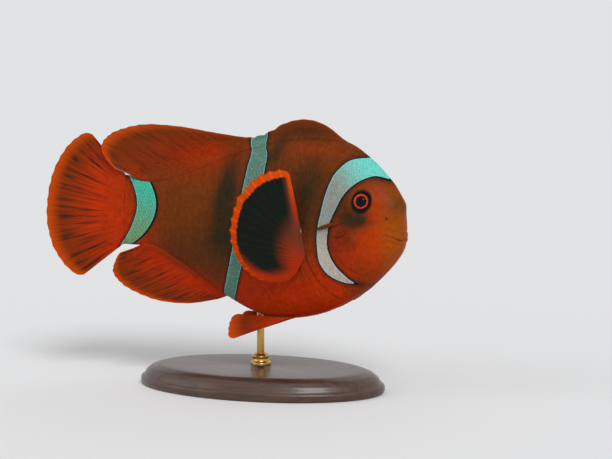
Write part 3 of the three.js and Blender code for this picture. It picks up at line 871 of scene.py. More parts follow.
def pectoral_finish():
    """A black fin with a broad bright margin, a red fleshy root and a red leading edge."""
    colours = bpy.context.scene.fish_colours
    shade = moist("anemonefish_pectoral")
    fin_place = shade.field("fin")
    along, out, off_ray = shade.parts(fin_place)
    streaks = ray_streaks(shade, fin_place, 70)
    fine = ray_streaks(shade, fin_place, 200)
    uneven = (streaks - 0.5) * 0.1 + (fine - 0.5) * 0.06
    from_front = along * (out + 0.05) + uneven * 0.12
    red = shade.layers(colours.spine, (colours.belly, along.step(0.15, 0.8) * 0.8 + 0.1),
                       (colours.dusk, streaks.step(0.45, 0.75) * 0.35))
    black = shade.blend(colours.fin_dark, colours.dusk,
                        off_ray.step(0.3, 0.05) * 0.16 + streaks.step(0.6, 0.85) * 0.2)
    inside = (out + uneven).step(0.05, 0.4) * from_front.step(0.014, 0.062)
    inside = inside * (along + out * 0.8 + uneven).step(1.5, 1.26) * along.step(0.93, 0.74)
    tips = off_ray.step(0.34, 0.06)
    # The margin turns red down the fin; its lower part is darkened as painted shade where the edge turns
    # away.
    margin = shade.blend(colours.fin_edge, colours.belly,
                         along.step(0.1, 0.6) * 0.45 + along.step(0.7, 0.95) * 0.5)
    margin = shade.shaded(margin, 0.93 + tips * 0.32 - along.step(0.5, 0.72) * 0.2)
    narrower = along.step(0.1, 0.4) * 0.024
    leading = shade.blend(colours.belly, colours.fin_edge, out.step(0.3, 0.8))
    spot = (along * along * 40 + (out - 0.02) * (out - 0.02) * 60).step(0.05, 0.015)
    colour = shade.layers(
        red, (black, inside), (margin, (out + uneven * 0.4 + tips * 0.012 - narrower).step(0.875, 0.9)),
        (leading, from_front.step(0.034, 0.014) * out.step(0.05, 0.4) * 0.9), (colours.bar, spot * 0.8))
    colour = shade.shaded(colour, 0.72 + streaks * 0.28 + fine * 0.28)
    lines = streaks * 0.4 + fine * 0.3 + ray_joints(out, off_ray, 190) * 0.3
    return shade.finish(colour, 0.4 + streaks * 0.2, lines)


def eye_finish():
    """A black pupil set a little off the middle, a red ring with pale specks of painted highlight and a dark
    rim.
    """
    colours = bpy.context.scene.fish_colours
    shade = Shade("anemonefish_eye", Specular_IOR_Level=0.08, Coat_Weight=0.07, Coat_Roughness=0.03)
    at = shade.field("eye")
    x, y, _ = shade.parts(at)
    spokes = shade.noise(at, 1.6, 4)
    fine = shade.noise(at, 7, 2)
    inner = distance(x + 0.14, y + 0.06) + (spokes - 0.5) * 0.75
    outer = distance(x, y) + (spokes - 0.5) * 0.2
    # The pale specks scattered over the ring are painted highlights.
    ring = shade.layers(
        colours.iris, (colours.belly, fine.step(0.42, 0.62) * 0.6 + outer.step(2.0, 2.4) * 0.4),
        (colours.fin_edge, inner.step(2.0, 1.8) * 0.8),
        (colours.bar, (spokes + fine * 0.3).step(0.84, 0.88) * 0.7))
    pupil, rim = (0.002, 0.003, 0.004), (0.004, 0.007, 0.008)
    colour = shade.layers(pupil, (ring, inner.step(1.66, 1.8)), (rim, outer.step(2.18, 2.38)))
    return shade.finish(colour, 0.1 + outer.step(2.2, 2.6) * 0.3)


def spine_finish():
    """Lined horn that grows out of the colour of the cheek."""
    colours = bpy.context.scene.fish_colours
    shade = moist("anemonefish_spine")
    place = shade.field("place")
    lines = shade.streaks(place, (0.5, 4, 4), 1.5)
    horn = shade.blend(colours.spine, colours.dusk, lines.step(0.5, 0.75) * 0.6)
    flesh, _ = body_tone(shade, place)
    colour = shade.blend(flesh, horn, shade.parts(place)[0].step(19, 22.5))
    return shade.finish(shade.shaded(colour, 0.68 + lines * 0.5), 0.36, lines, 0.00008, 0.4)


# ---------------------------------------------------------------- the skin
class FISH_OT_skin(bpy.types.Operator):
    """Makes the skin of the head, trunk and tail base as one closed surface"""
    bl_idname = "anemonefish.skin"
    bl_label = "Skin"

    def execute(self, context):
        surface = skin_surface(context.scene.skin_sizes.coat_depth / MM)
        rows, columns = surface.rows, surface.columns
        r, c = np.meshgrid(np.arange(rows - 1), np.arange(columns), indexing="ij")
        corners = [surface.unwrap(r + down, c + on) for down, on in ((1, 0), (1, 1), (0, 1), (0, 0))]
        ends = [np.repeat([surface.unwrap(row, columns / 2)], 3 * columns, 0) for row in (0, rows - 1)]
        uv = np.concatenate([np.stack(corners, 2).reshape(-1, 2), *ends])
        piece = new_mesh("fish_skin", with_middles(surface.points), tube_faces(rows, columns), uv,
                         **painted(with_middles(surface.straight)))
        dress(piece, skin_finish(), "skin", "head", "lower_jaw", "gill_cover_left", "gill_cover_right",
              "trunk", "tail_base")
        return {"FINISHED"}


# ---------------------------------------------------------------- scales
SCALE_RINGS = (0.5, 0.85, 1.0)
SCALE_SIDES = 10
SCALE_REACH = (0.98, 1.12)  # how far a scale goes back and across, in spacings
VARIED = 0.05
ROOT_DEPTH = 0.12
CROWN = 0.07
PLATE_DEPTH = 0.16
FULL_SPACING = 1.3  # the spacing that these heights hold for
PATCH_RADIUS = 0.0015
END_GAP = 0.35

TRUNK_REACH = (8, 99.4)
TRUNK_PARTS = (("front", 0, 44), ("middle", 44, 68), ("rear", 68, math.inf))
CHEEK_REACH = (8, 30)
CHEEK_PITCH = 0.92
FIN_PITCH = 0.62
FIN_SCALE_LIFT = 0.1


def scale_template():
    """A scale's points as (back, across) in a unit disc, ring by ring, which of them lie under it, and its
    faces. The last ring repeats the one before it and hangs under it as the scale's edge, and both ends close
    with a point."""
    circle = joined(np.cos(turns(SCALE_SIDES)), np.sin(turns(SCALE_SIDES)))
    rings = [radius * circle for radius in (*SCALE_RINGS, 1.0)]
    plan = np.concatenate([[(0, 0)], *rings, [(0, 0)]])
    last = SCALE_SIDES * len(SCALE_RINGS)
    under = np.arange(len(plan)) > last
    ring = 1 + np.arange(SCALE_SIDES)
    onward = np.roll(ring, -1)
    inner = np.arange(0, last, SCALE_SIDES)[:, None]
    outer = inner + SCALE_SIDES
    walls = joined(ring + inner, ring + outer, onward + outer, onward + inner).reshape(-1, 4)
    return plan, under, (fan(0, ring), walls, fan(len(plan) - 1, (ring + last)[::-1]))


def lie_of_scales(surface, side, pitch, first_station, last_station):
    """Scale roots in rows along a flank: (station, column, spacing) of each. Every other row stands half a
    step on. Each row starts at the middle of the flank and goes both ways round."""
    steps = np.arange(surface.columns // 4 + 1)
    middle = 0 if side > 0 else surface.columns // 2
    found = []
    station = first_station
    while station < last_station:
        step = pitch(station)
        for half in (0, 1):
            at = station + 0.5 * half * step
            for way in (1, -1):
                columns = middle + way * side * steps
                arc = run_along(surface.read(surface.row(at), columns)[0])
                arcs = step * (np.arange(int(arc[-1] / step) + 2) * 2 + half)
                arcs = arcs[(arcs < arc[-1] - END_GAP * step) & ((arcs > 0) | (way > 0))]
                found.append(joined(at, np.interp(arcs, arc, columns), step))
        station += step
    return np.concatenate(found)


def side_view(surface, laid):
    """The stations and heights of scale roots."""
    straight = surface.read(surface.row(laid[:, 0]), laid[:, 1])[2]
    return straight[:, 0], straight[:, 2]


def lay_scales(name, surface, laid, lift, depth, rng, marks=ALL_BARS, **fields):
    """One mesh of shingled scales, each a closed plate whose root lies under the skin. Each of fields gives
    its values at rows and columns of the surface."""
    plan, under, parts = scale_template()
    count = len(laid)
    station, column, step = (laid[:, k, None] for k in range(3))
    size = 1 + VARIED * rng.standard_normal((count, 1))
    turn = VARIED * rng.standard_normal((count, 1))
    back_along = plan[:, 0] * np.cos(turn) - plan[:, 1] * np.sin(turn)
    across = plan[:, 0] * np.sin(turn) + plan[:, 1] * np.cos(turn)

    near = 0.4
    row = surface.row(station)
    ahead, behind, up, down = (surface.read(*place)[0] for place in (
        (surface.row(station + near), column), (surface.row(station - near), column),
        (row, column + 1), (row, column - 1)))
    station_span = np.linalg.norm(ahead - behind, axis=-1) / MM / (2 * near)
    column_span = np.linalg.norm(up - down, axis=-1) / MM / 2

    at_row = surface.row(station + back_along * step * SCALE_REACH[0] * size / station_span)
    at_column = column + across * step * SCALE_REACH[1] * size / column_span
    point, normal, straight = surface.read(at_row, at_column)
    back_share = (plan[:, 0] + 1) / 2
    height = (lift + ROOT_DEPTH) * back_share ** 0.9 - ROOT_DEPTH - CROWN * plan[:, 1] ** 2
    height = height * step / FULL_SPACING
    height = np.minimum(np.where(under, np.minimum(height - PLATE_DEPTH, -0.1), height), depth)
    point = point + normal * (height * MM)[..., None]

    starts = (np.arange(count) * len(plan))[:, None, None]
    faces = [(part + starts).reshape(-1, part.shape[1]) for part in parts]
    uv = surface.unwrap(row, column % surface.columns) + plan * PATCH_RADIUS
    fields = {field: values(at_row, at_column) for field, values in fields.items()}
    grain = joined(rng.random((count, 1)), back_share, plan[:, 1])
    fields = {**fields, "grain": grain, **painted(straight.reshape(-1, 3), marks)}
    return new_mesh(name, point.reshape(-1, 3), faces, np.clip(uv, 0, 1).reshape(-1, 2), **fields)


def trunk_pitch(base):
    """The spacing of the trunk's scales by station: closer at the nape and towards the tail."""
    def pitch(station):
        nape, tail = mix(0.68, 1, smooth(station, 10, 34)), mix(1, 0.78, smooth(station, 60, 98))
        return base * float(nape * tail)

    return pitch


def on_trunk(station, height):
    """Whether trunk scales grow here: behind the gill cover, on the nape and throat, off the breast fin."""
    out, angle = polar(CHEEK, station, height)
    nape = (angle > 46) & (out > 15) & outside_face(station, height)
    throat = (angle < -70) & (out > 17)
    clear = away_from(PECTORAL_BASE, station, height, PECTORAL_REACH) > 0.8
    return ((out > GILL_EDGE + 0.5) | nape | throat) & clear


def on_cheek(station, height):
    """Whether small scales grow here: on the cheek and gill cover, but not at the eye, snout and ridges."""
    out, angle = polar(CHEEK, station, height)
    ridge, _ = along_segment(station, height, (5.4, 6.4), (15.2, 4.4))
    past_plate = away_from(PREOPERCLE["centre"], station, height) - PREOPERCLE["reach"]
    return ((out > 6.5) & (out < GILL_EDGE - 0.7) & (angle > -70) & (angle < 46) & (ridge > 1.9)
            & (away_from(EYE["centre"], station, height) > 4.6) & (np.abs(past_plate - 0.2) > 0.55)
            & (away_from((3, 0), station, height) > 7.5))


class FISH_OT_scales(bpy.types.Operator):
    """Lays overlapping scales over the trunk, the nape, the cheeks and the gill covers"""
    bl_idname = "anemonefish.scales"
    bl_label = "Scales"

    def execute(self, context):
        sizes = context.scene.skin_sizes
        depth = sizes.coat_depth / MM
        surface = skin_surface(depth)
        rng = np.random.default_rng(sizes.seed)
        finish = scale_finish()
        for side, hand in SIDES:
            trunk = lie_of_scales(surface, side, trunk_pitch(sizes.scale_length / MM), *TRUNK_REACH)
            cheek = lie_of_scales(surface, side, lambda station: CHEEK_PITCH, *CHEEK_REACH)
            station, height = side_view(surface, trunk)
            patches = [(part, trunk[on_trunk(station, height) & (station >= low) & (station < high)])
                       for part, low, high in TRUNK_PARTS]
            patches.append(("cheek", cheek[on_cheek(*side_view(surface, cheek))]))
            for part, laid in patches:
                name = f"scales_{part}_{hand}"
                dress(lay_scales(name, surface, laid, sizes.scale_lift / MM, depth, rng), finish, "skin")
        return {"FINISHED"}


# ---------------------------------------------------------------- fins
ROOT_SUNK = 0.9
CORNER_RAYS = 0.6
MIDLINE_FACE = (0, 1, 0)
BACK_RAYS = 27


def by_ray(points, rays):
    """A list of values at numbered rays, as values along a fin from 0 to 1."""
    return [(ray / (rays - 1), value) for ray, value in points]


def midline_fin(root, edge_station, edge_height, profile, side, swept=0.0, swept_from=0.0):
    """The middle surface of a fin on the midline, from its first ray to its last and from its root to its
    edge, and the half thickness of the flesh at its root. Its rear leans aside by swept, to lie clear of the
    tail fin."""
    root_of, station_of, height_of = (curve_through(points) for points in (root, edge_station, edge_height))

    def sunk_root(along):
        return root_of(along), profile(root_of(along)) - side * ROOT_SUNK

    def place(along, out):
        station, height = sunk_root(along)
        lean = np.sign(out) * np.abs(out) ** 1.25
        aside = swept * np.clip((along - swept_from) / (1 - swept_from), 0, 1) ** 2
        return joined(mix(station, station_of(along), lean), -aside * out, mix(height, height_of(along), out))

    return place, lambda along: 0.42 * skin_side(*sunk_root(along))


def tail_fin_place(along, out):
    spread, tilt = math.radians(44), math.radians(4)
    turn = mix(spread, -spread, along)
    reach = 27 * (1 - 0.3 * np.abs(turn / spread) ** 2.4) * out
    start = mix(back(BODY_LENGTH), belly(BODY_LENGTH), along)
    wave = 0.9 * np.sin(2 * math.pi * along) * out * np.abs(out)
    return joined(BODY_LENGTH + 0.3 + reach * np.cos(turn + tilt), wave, start + reach * np.sin(turn + tilt))


def pectoral_place(side):
    """The middle surface of a breast fin, spread outward and a little cupped, and its normal."""
    outward_by, lean = math.radians(27), 0.05
    aft = np.array([math.cos(outward_by), side * math.sin(outward_by), 0])
    upright = np.array([-math.sin(lean), 0, math.cos(lean)])
    flat = np.cross(aft, (0, 0, 1))
    up = unit(upright - flat * (upright @ flat) / (flat @ flat))
    face = unit(np.cross(aft, up))

    def root_at(along):
        station, height = 29.9 + 2 * along, 1 - 13.4 * along
        return joined(station, side * (skin_side(station, height) + 1.1), height)

    start = root_at(np.array(0.0))

    def place(along, out):
        turn = np.radians(mix(95.0, -105.0, along))[..., None]
        tip = start + aft * (7.5 + 17 * np.cos(turn)) + up * (1.5 + 18.2 * np.sin(turn))
        cupped = 1.6 * np.sin(math.pi * along) * out * np.abs(out) - 2.2 * along ** 3 * out
        return mix(root_at(along), tip, out[..., None]) - side * face * cupped[..., None]

    return place, face


def pelvic_place(side):
    """The middle surface of a pelvic fin, which hangs down and back, and its normal."""
    down = unit((0, side * 0.42, -1))

    def place(along, out):
        turn = np.radians(mix(25.0, 1.0, along))
        reach = 23 * (1 - 0.26 * along ** 1.4) * out
        root = section(37.5 + 4 * along, math.radians(-74)) * (1, side, 1)
        aft = joined(reach * np.cos(turn), 0, 0)
        return root + aft + down * (0.72 + reach * np.sin(turn))[..., None]

    return place, np.cross((1, 0, 0), down)


def ray_shape(off, out, softness):
    """How much of a ray stands at a place between two rays. Soft rays split in two, and in two again."""
    stiff = bump(off, mix(0.17, 0.1, out))
    first = 0.13 * smooth(out, 0.3, 0.75)
    second = 0.07 * smooth(out, 0.62, 1.0)
    width = mix(0.16, 0.055, smooth(out, 0.1, 1))
    soft = np.max([bump(off - a * first - b * second, width) for a in (-1, 1) for b in (-1, 1)], 0)
    return mix(stiff, soft, softness)


class FinSheet:
    """A fin's middle surface as a grid, with the thickness of its rays and skin. Rays before soft_from are
    stiff. The edge falls back by notch between soft rays and by ragged at random ones. The flesh of the body
    thickens the root by fleshy at each side, and by fillet where the root meets the body."""

    def __init__(self, place, face, sizes, rays, seed, soft_from=-1.0, notch=0.01, rows=46, per_ray=12,
                 root_depth=0.05, fleshy=0.4, ragged=0.005, fillet=lambda along: 0.2):
        self.columns, self.rows = (rays - 1) * per_ray + 1, rows + 1
        along, out = np.broadcast_arrays(
            (np.arange(self.columns) / (self.columns - 1))[:, None],
            -root_depth + (1 + root_depth) * (np.linspace(0, 1, self.rows) ** 0.9)[None, :])
        held = np.clip(out, 0, 1)
        spread = along * (rays - 1)
        nearest = np.round(spread).astype(int)
        off = spread - nearest
        softness = smooth(spread, soft_from - 0.5, soft_from + 0.5)

        gap = mix(0.016 + 0.1 * smooth(spread, 5, 8), notch, softness)
        scallop = np.minimum(2 * np.abs(off), 1) ** mix(1.5, 0.7, softness)
        splits = 0.003 * (1 - np.cos(off * 8 * math.pi)) / 2
        shorter = ragged * np.random.default_rng(seed).random(rays)[nearest]
        trim = 1 - gap * scallop - softness * (splits + shorter)
        for corner in (along, 1 - along):
            trim = trim - 0.08 * np.clip(1 - corner * (rays - 1) / CORNER_RAYS, 0, 1) ** 2
        self.middle = place(along, np.where(out > 0, out * mix(1, trim, smooth(out, 0.5, 1)), out))

        ray = ray_shape(off, held, softness) * mix(0.25, 1, smooth(held, 0, 0.22))
        membrane = sizes.membrane / MM
        half = 0.5 * np.maximum(mix(membrane, mix(sizes.ray / MM, 0.2, held ** 0.7), ray), membrane)
        from_root = np.linalg.norm(self.middle - place(along, 0 * out), axis=-1) * np.sign(out) - ROOT_SUNK
        self.flesh = fleshy * (1 - smooth(from_root, 0, 5))
        self.flesh = self.flesh + fillet(along) * np.clip(1 - from_root / 2.6, 0, 1) ** 2.2
        self.half = half * mix(1, 0.55, smooth(out, 0.94, 1)) + self.flesh
        self.sway = sizes.ripple / MM * (1 - ray) * held * np.where(nearest % 2 > 0, 1, 0.4)
        self.face = np.broadcast_to(face, self.middle.shape)
        self.field = joined(along, out, np.minimum(1, 2 * np.abs(off)))

    def mesh(self, name, marks=()):
        """The fin as one closed sheet. marks are the bars that cross it."""
        straight = np.concatenate([
            (self.middle + self.face * (self.sway + half)[..., None]).reshape(-1, 3)
            for half in (self.half, -self.half)])
        sheet = grid_faces(self.columns, self.rows)
        other = self.columns * self.rows
        index = np.arange(other).reshape(self.columns, self.rows)
        rim = np.concatenate([index[:, 0], index[-1, 1:], index[-2::-1, -1], index[0, -2:0:-1]])
        around = np.roll(rim, -1)
        faces = [sheet, sheet[:, ::-1] + other, joined(around, rim, rim + other, around + other)]
        return new_mesh(name, swim(straight), faces, fin=np.tile(self.field.reshape(-1, 3), (2, 1)),
                        **painted(straight, marks))

    def scales(self, name, side, reach, depth, rng, marks=()):
        """Small scales over one side of the fin's base. reach is how far out they go, by share along it."""
        straight = self.middle + self.face * (side * (self.flesh + 0.16))[..., None]
        straight = np.swapaxes(straight[:, 1:-1], 0, 1)
        points = swim(straight)
        normals = unit(np.cross(np.gradient(points, axis=1), np.gradient(points, axis=0)))
        away = swim(straight + side * self.face[0, 0]) - points
        normals *= np.sign((normals * away).sum(-1, keepdims=True))
        stations = run_along(points)
        surface = Surface(points, normals, straight, stations, closed=False)
        rows, columns = np.arange(surface.rows), np.arange(surface.columns)
        outs = self.field[0, 1:-1, 1]

        def fin_place(row, column):
            return joined(column / columns[-1], np.interp(row, rows, outs), 0.4)

        found = []
        for k in range(int(2 * stations[-1] / FIN_PITCH)):
            station = 0.5 * k * FIN_PITCH
            row = surface.row(station)
            arc = run_along(surface.read(row, columns)[0])
            arcs = FIN_PITCH * (1 + k % 2 + 2 * np.arange(int(arc[-1] / FIN_PITCH / 2) + 1))
            at = np.interp(arcs[arcs < arc[-1] - 1.2 * FIN_PITCH], arc, columns)
            ragged = 0.85 + 0.3 * rng.random(len(at))
            share = np.interp(row, rows, outs) / (reach(at / columns[-1]) * ragged)
            size = FIN_PITCH * (1 - 0.45 * smooth(share, 0.55, 1))
            found.append(joined(station, at, size)[share < 1])
        laid = np.concatenate(found)
        return lay_scales(name, surface, laid, FIN_SCALE_LIFT, depth, rng, marks, fin=fin_place)


def midline_fins(sizes):
    """Each fin on the midline: its name, sheet, bars, solids, finish and the reach of its scales."""
    back_place, back_fillet = midline_fin(
        by_ray([(0, 20.5), (9, 53.2), (10, 55.8), (26, 96)], BACK_RAYS),
        by_ray([(0, 22.5), (4.5, 40), (9, 57.2), (10, 59.6), (12, 69.8), (14, 81.2), (16.6, 94.2),
                (19, 102.2), (21.6, 107.3), (23.8, 108.2), (26, 104)], BACK_RAYS),
        by_ray([(0, 29.3), (1.8, 33.9), (3.8, 35.6), (5.6, 34.1), (7.2, 30.6), (8.2, 29.3), (9.4, 28.8),
                (12, 29.8), (14, 31.2), (16.6, 31.4), (19, 29.4), (21.6, 26.1), (23.8, 22), (26, 16.6)],
               BACK_RAYS),
        back, 1, 3, 10 / (BACK_RAYS - 1))
    anal_place, anal_fillet = midline_fin(
        [(0, 62), (1, 93)],
        [(0, 67), (0.13, 76), (0.3, 87), (0.48, 96), (0.76, 103.3), (1, 101.5)],
        [(0, -25.6), (0.13, -27.6), (0.3, -27.6), (0.48, -25), (0.76, -19), (1, -12.2)], belly, -1, 2)
    return (
        ("back", FinSheet(back_place, MIDLINE_FACE, sizes, BACK_RAYS, 3, soft_from=9, fillet=back_fillet),
         (1,), ("dorsal_fin_spiny", "dorsal_fin_soft"), dict(streaked=0.5, margin=0.18, rear_from=0.6),
         [(0, 0.5), (0.3, 0.6), (0.4, 0.72), (0.7, 0.5), (1, 0.3)]),
        ("anal", FinSheet(anal_place, MIDLINE_FACE, sizes, 15, 5, fillet=anal_fillet),
         (), ("anal_fin",), dict(streaked=0.75, margin=0.12, bright=0.3, has_bars=False),
         [(0, 0.5), (0.5, 0.4), (1, 0.25)]),
        ("tail", FinSheet(tail_fin_place, MIDLINE_FACE, sizes, 17, 6, fleshy=0.5),
         (2,), ("tail_fin",), dict(streaked=0.85, margin=0.2, bright=0.8),
         [(0, 0.42), (0.5, 0.24), (1, 0.42)]))


class FISH_OT_midline_fins(bpy.types.Operator):
    """Makes the back fin, the anal fin and the tail fin, with small scales over their bases"""
    bl_idname = "anemonefish.midline_fins"
    bl_label = "Midline fins"

    def execute(self, context):
        depth = context.scene.skin_sizes.coat_depth / MM
        rng = np.random.default_rng(context.scene.skin_sizes.seed + 1)
        for name, sheet, marks, nodes, looks, reach in midline_fins(context.scene.fin_sizes):
            piece = sheet.mesh(f"{name}_fin_sheet", marks)
            dress(piece, fin_finish(f"anemonefish_{name}_fin", **looks), "fin", *nodes)
            scaly = fin_finish(f"anemonefish_{name}_fin_scales", with_grain=True, **looks)
            for side, hand in SIDES:
                coat = f"scales_{name}_fin_{hand}"
                dress(sheet.scales(coat, side, curve_through(reach), depth, rng, marks), scaly, "fin")
        return {"FINISHED"}


class FISH_OT_paired_fins(bpy.types.Operator):
    """Makes the black breast fins and the pelvic fins"""
    bl_idname = "anemonefish.paired_fins"
    bl_label = "Paired fins"

    def execute(self, context):
        sizes = context.scene.fin_sizes
        black = pectoral_finish()
        orange = fin_finish("anemonefish_pelvic_fin", 0.5, 0.3, has_bars=False)
        for side, hand in SIDES:
            pectoral = FinSheet(*pectoral_place(side), sizes, 19, 8 + side, notch=0.026, rows=56,
                                root_depth=0.1, fleshy=0.5, ragged=0.018)
            pelvic = FinSheet(*pelvic_place(side), sizes, 6, 12 + side, notch=0.015, per_ray=20,
                              root_depth=0.12)
            for name, sheet, finish, slot in (("pectoral", pectoral, black, "pectoral_fin"),
                                              ("pelvic", pelvic, orange, "fin")):
                dress(sheet.mesh(f"{name}_sheet_{hand}"), finish, slot, f"{name}_fin_{hand}")
        return {"FINISHED"}


# ---------------------------------------------------------------- eyes and cheek spines
def frame_at(station, height, side):
    """A point of the plain body, and two directions along the surface there and its outward normal."""
    normal = skin_normal(station, height, side)
    point = np.array([station, side * skin_side(station, height), height], float)
    back_along = unit(np.array([1.0, 0, 0]) - normal * normal[0])
    return point, np.stack([back_along, np.cross(normal, back_along), normal])


class FISH_OT_eyes(bpy.types.Operator):
    """Makes the eyeballs, domed over a round pupil"""
    bl_idname = "anemonefish.eyes"
    bl_label = "Eyes"

    def execute(self, context):
        finish = eye_finish()
        rings, sides = 44, 72
        polar_angle = (np.arange(1, rings + 1) / (rings + 1) * math.pi)[:, None]
        out = EYE["radius"] * np.sin(polar_angle)
        lens = EYE["lens"] * (1 - smooth(out, 1.1, 1.7)) * (polar_angle < 1)
        rise = EYE["bulge"] * np.cos(polar_angle) + lens
        x, y = out * np.cos(turns(sides)), out * np.sin(turns(sides))
        local = joined(x, y, rise)
        poles = [(0, 0, EYE["bulge"] + EYE["lens"]), (0, 0, -EYE["bulge"])]
        local = np.concatenate([local.reshape(-1, 3), poles])
        for side, hand in SIDES:
            point, axes = frame_at(*EYE["centre"], side)
            straight = point - axes[2] * EYE["sunk"] + local @ axes
            piece = new_mesh(f"eyeball_{hand}", swim(straight), tube_faces(rings, sides), eye=local)
            dress(piece, finish, "eye", f"eye_{hand}")
        return {"FINISHED"}


CHEEK_SPINES = (
    {"from": (15.0, 5.2), "to": (24.9, 2.0), "root": 0.78, "tip": 0.56, "arch": 0.2},
    {"from": (14.2, 2.8), "to": (18.6, 0.2), "root": 0.6, "tip": 0.26, "arch": -0.5},
)
SPINE_SIDES = 18
SPINE_RINGS = 27


def spine_points(spec, side):
    """A spine's points ring by ring, from its root under the skin to its blunt tip."""
    rings = []
    around = turns(SPINE_SIDES)[:, None]
    for share in np.linspace(-0.06, 1, SPINE_RINGS):
        held = max(share, 0.0)
        station, height = mix(np.array(spec["from"]), np.array(spec["to"]), share)
        height += spec["arch"] * math.sin(math.pi * held)
        radius = mix(spec["root"], spec["tip"], held ** 0.9) * math.sqrt(max(1 - held ** 14, 0.02))
        point, axes = frame_at(station, height, side)
        normal = axes[2]
        centre = point + normal * mix(-1.15 * spec["root"], 0.45, smooth(held, 0, 0.7))
        across = unit(np.cross(normal, (1, 0, 0)))
        rings.append(centre + radius * (normal * np.cos(around) + across * np.sin(around)))
    return with_middles(np.array(rings))


class FISH_OT_cheek_spines(bpy.types.Operator):
    """Makes the spines that point back from the bone under each eye"""
    bl_idname = "anemonefish.cheek_spines"
    bl_label = "Cheek spines"

    def execute(self, context):
        finish = spine_finish()
        for side, hand in SIDES:
            spines = [spine_points(spec, side) for spec in CHEEK_SPINES]
            faces = [part + k * len(spines[0]) for k in range(len(spines))
                     for part in tube_faces(SPINE_RINGS, SPINE_SIDES)]
            straight = np.concatenate(spines)
            piece = new_mesh(f"cheek_spine_pair_{hand}", swim(straight), faces, **painted(straight))
            dress(piece, finish, "cheek_spine", f"cheek_spines_{hand}")
        return {"FINISHED"}


# ---------------------------------------------------------------- the stand
BORE = 1.5
AXIS = 0.01
COLLAR_BORE = 1.25


def rounded_profile(profile, radius, steps=4):
    """A profile with its corners rounded."""
    corners = [np.array(point, float) for point in profile]
    result = [corners[0]]
    for before, corner, after in zip(corners, corners[1:], corners[2:]):
        ways = before - corner, after - corner
        cut = min(radius, *(0.45 * np.linalg.norm(way) for way in ways))
        start, end = (corner + unit(way) * cut for way in ways)
        result += [mix(mix(start, corner, share), mix(corner, end, share), share)
                   for share in np.linspace(0, 1, steps + 1)]
    return [*result, corners[-1]]


def turned(name, profile, rounding, sides, squash=1.0):
    """A turned solid about the Z axis from (radius, height) points in millimetres, its corners rounded. It
    closes on the axis or on itself."""
    around = turns(sides)
    rings = [joined(r * np.cos(around), squash * r * np.sin(around), z)
             for r, z in rounded_profile(profile, rounding)]
    return new_mesh(name, np.concatenate(rings) * MM, [grid_faces(len(rings), sides, closed=True)])


def wood_finish():
    """Oiled walnut with its grain along the base."""
    looks = bpy.context.scene.stand_looks
    shade = Shade("stand_walnut", Coat_Weight=0.35, Coat_Roughness=0.18)
    place = shade.node("ShaderNodeTexCoord", output="Object")
    figure = shade.streaks(place, (40, 330, 330), 1.1, 4, 0.6)
    fibres = shade.streaks(place, (160, 5200, 5200))
    pores = fibres.step(0.6, 0.72)
    colour = shade.blend(looks.wood, looks.wood_grain, (figure * 26).wave() ** 1.5 * 0.6 + pores * 0.35)
    return shade.finish(shade.shaded(colour, 0.8 + fibres * 0.4), 0.3 + fibres * 0.25, fibres - pores * 0.5)


def brass_finish():
    """Brushed brass, a little tarnished."""
    shade = Shade("stand_brass", Metallic=1.0)
    place = shade.node("ShaderNodeTexCoord", output="Object")
    brushed = shade.streaks(place, (900, 900, 9000))
    tarnish = shade.noise(place, 260, 4)
    brass = shade.shaded(bpy.context.scene.stand_looks.brass, 0.78 + tarnish * 0.3 + brushed * 0.12)
    return shade.finish(brass, 0.2 + brushed * 0.16 + tarnish.step(0.5, 0.75) * 0.15, brushed, 0.00003, 0.3)


class FISH_OT_stand(bpy.types.Operator):
    """Makes the turned wooden base, the brass rod and its collar"""
    bl_idname = "anemonefish.stand"
    bl_label = "Stand"

    def execute(self, context):
        brass = brass_finish()
        low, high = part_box("stand_base")
        half_length, top = (high.x - low.x) / 2 / MM, high.z / MM
        profile = [(BORE, 3.2), (BORE, 3.1), (AXIS, 3.1), (AXIS, 0)]
        profile += [(half_length - cut, z) for cut, z in (
            (0.8, 0), (0, 0.8), (0, 2.4), (1.2, 3.2), (2, 4.6), (3.8, 6), (6.4, 6.8), (8, top))]
        profile += [(BORE, top), (BORE, 3)]
        base = turned("base_turned", profile, 0.5, 160, (high.y - low.y) / (high.x - low.x))
        dress(base, wood_finish(), "stand_wood", "stand_base")

        low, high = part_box("stand_rod")
        radius, foot, top = (value / MM for value in ((high.x - low.x) / 2, low.z, high.z))
        rod = turned("rod_brass", [(AXIS, foot), (radius, foot), (radius, top), (AXIS, top)], 0.3, 48)
        middle = (low + high) / 2
        rod.data.transform(Matrix.Translation((middle.x, middle.y, 0)))
        dress(rod, brass, "stand_brass", "stand_rod")

        low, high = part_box("stand_collar")
        outer, foot, top = (value / MM for value in ((high.x - low.x) / 2, low.z, high.z))
        collar = turned("collar_brass", [
            (COLLAR_BORE, foot), (outer, foot), (outer, foot + 1), (outer - 0.7, foot + 1.5),
            (outer - 0.9, foot + 2.4), (outer - 0.4, foot + 3), (BORE + 0.5, top), (COLLAR_BORE, top),
            (COLLAR_BORE, foot)], 0.25, 96)
        dress(collar, brass, "stand_brass", "stand_collar")
        return {"FINISHED"}


# ---------------------------------------------------------------- the stage
def facing(toward):
    """The turn of a camera or lamp that looks back from a direction."""
    return (-Vector(toward)).to_track_quat("-Z", "Y").to_euler()


def broad_lamp(name, toward, strength, softness):
    """Even light from one direction, as from a far wide lamp, so that the floor stays evenly pale."""
    data = bpy.data.lights.new(name, "SUN")
    data.energy = strength
    data.angle = math.radians(softness)
    put(name, data).rotation_euler = facing(toward)


